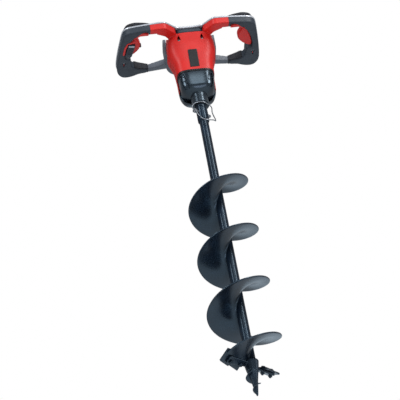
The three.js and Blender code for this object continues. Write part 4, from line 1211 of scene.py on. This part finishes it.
def make_pin():
    tail, head, neck, wide, thin = 25, -26, -19, 5.5, PIN_RADIUS
    profile = [(0, head), (wide - 0.8, head), (wide, head + 0.8), (wide, neck - 0.6), (wide - 0.5, neck)]
    profile += [(thin, neck), (thin, tail - 5.5), (thin - 0.5, tail - 5), (thin - 0.5, tail - 4)]
    profile += [(thin, tail - 3.5), (thin, tail - 1.4), (thin - 1.4, tail), (0, tail)]
    pin = moved(smooth(lying(turned(profile, 64), "X")), PIN_FRAME)
    finished(pin, "cross_pin", "machined_steel", "auger")
    side, high = BOW_REACH * math.sin(BOW_LEAN), BOW_REACH * math.cos(BOW_LEAN)
    middle = [(r * math.cos(math.radians(a)), r * math.sin(math.radians(a)), h) for a, r, h in BOW]
    path = curve_through([(BOW_ALONG, side, high), *middle, (BOW_ALONG, -side, -high)], 12)
    wire = moved(smooth(swept(path, 1.3), 60), PIN_FRAME)
    finished(wire, "pin_bow", "machined_steel", "pin_bow")


# ---- pieces whose CAD shape is kept: inner works and small fittings ----
def dress_kept_nodes():
    """Gives every CAD node that still shows its slot's material."""
    for part in frame["record"]["subparts"]:
        node = frame["nodes"][part["node"]]
        if node.hide_render:
            continue
        materials = node.data.materials
        if not materials:
            materials.append(None)
        for place in range(len(materials)):
            materials[place] = LOOKS[part["material_slot"]]


# ---- stage and light ----
FLOOR_HEIGHT = -2.45  # metres; below the camera, so that it doesn't hide the drill
FLOOR_HALF = 40  # metres
MACHINE = (0, 0, -0.2)  # metres; what the lamps in front and above point at
DRILL = (0, 0, -0.5)  # metres; what the lamps at the sides and behind point at


def make_floor():
    signs = ((-1, -1), (1, -1), (1, 1), (-1, 1))
    corners = [(x * FLOOR_HALF, y * FLOOR_HALF, FLOOR_HEIGHT) for x, y in signs]
    mesh = bpy.data.meshes.new("floor")
    mesh.from_pydata(corners, [], [(0, 1, 2, 3)])
    floor = new_object("floor", mesh)
    n = Nodes("floor")
    tone = n.mix(n.noise(900, 2), "f4f4f4", "f8f8f8")
    glow = {"Emission_Color": (1, 1, 1, 1), "Emission_Strength": 0.12}
    mesh.materials.append(n.principled(Base_Color=tone, Roughness=0.9, **glow))


def area_light(name, place, target, size, power, tint=(1, 1, 1)):
    light = bpy.data.lights.new(name, "AREA")
    light.shape = "RECTANGLE"
    light.size, light.size_y = size
    light.energy = power
    light.color = tint
    lamp = new_object(name, light)
    lamp.location = place
    lamp.rotation_euler = (Vector(target) - Vector(place)).to_track_quat("-Z", "Y").to_euler()


def make_light():
    world = bpy.data.worlds.new("studio")
    world.use_nodes = True
    tree = world.node_tree
    background = tree.nodes["Background"]
    seen = tree.nodes.new("ShaderNodeBackground")
    for node, tint, strength in ((background, (0.93, 0.96, 1, 1), 0.34), (seen, (1, 1, 1, 1), 1.0)):
        node.inputs["Color"].default_value = tint
        node.inputs["Strength"].default_value = strength
    path = tree.nodes.new("ShaderNodeLightPath")
    mix = tree.nodes.new("ShaderNodeMixShader")
    for place, output in enumerate((path.outputs["Is Camera Ray"], background.outputs[0], seen.outputs[0])):
        tree.links.new(output, mix.inputs[place])
    tree.links.new(mix.outputs[0], tree.nodes["World Output"].inputs["Surface"])
    bpy.context.scene.world = world
    # name, place and size in metres, power in watts
    area_light("key", (1.9, -2.3, 1.3), MACHINE, (0.9, 1.8), 66)
    area_light("front", (0.3, -3.0, 1.0), MACHINE, (0.8, 2.0), 21, (0.95, 0.98, 1))
    area_light("left", (-1.9, -2.1, 0.9), MACHINE, (0.6, 2.0), 42, (0.94, 0.97, 1))
    area_light("low_front", (0.5, -2.5, -1.5), MACHINE, (0.9, 0.5), 6, (0.9, 0.88, 1))
    area_light("left_strip", (-2.8, -0.7, -0.6), DRILL, (0.25, 2.2), 4, (0.9, 0.95, 1))
    area_light("right_strip", (2.7, -0.5, -0.6), DRILL, (0.25, 2.2), 6, (0.95, 0.97, 1))
    area_light("top", (0.4, 0.9, 2.9), MACHINE, (2.0, 1.2), 20)
    area_light("behind", (0.2, 3.2, -0.5), DRILL, (2.6, 1.6), 6.4, (0.6, 0.82, 1))


make_floor()
make_light()
make_strip()
make_triggers()
make_lock_button()
make_slider()
make_grips()
make_grip_trims()
make_palm_covers()
make_sleeves()
make_grip_screws()
make_dock()
make_front_housing()
make_nameplate()
make_face_screws()
make_rear_housing()
make_gear_case()
make_collar()
make_tube()
make_flight()
make_tip()
make_pilot()
make_pin()

dress_kept_nodes()
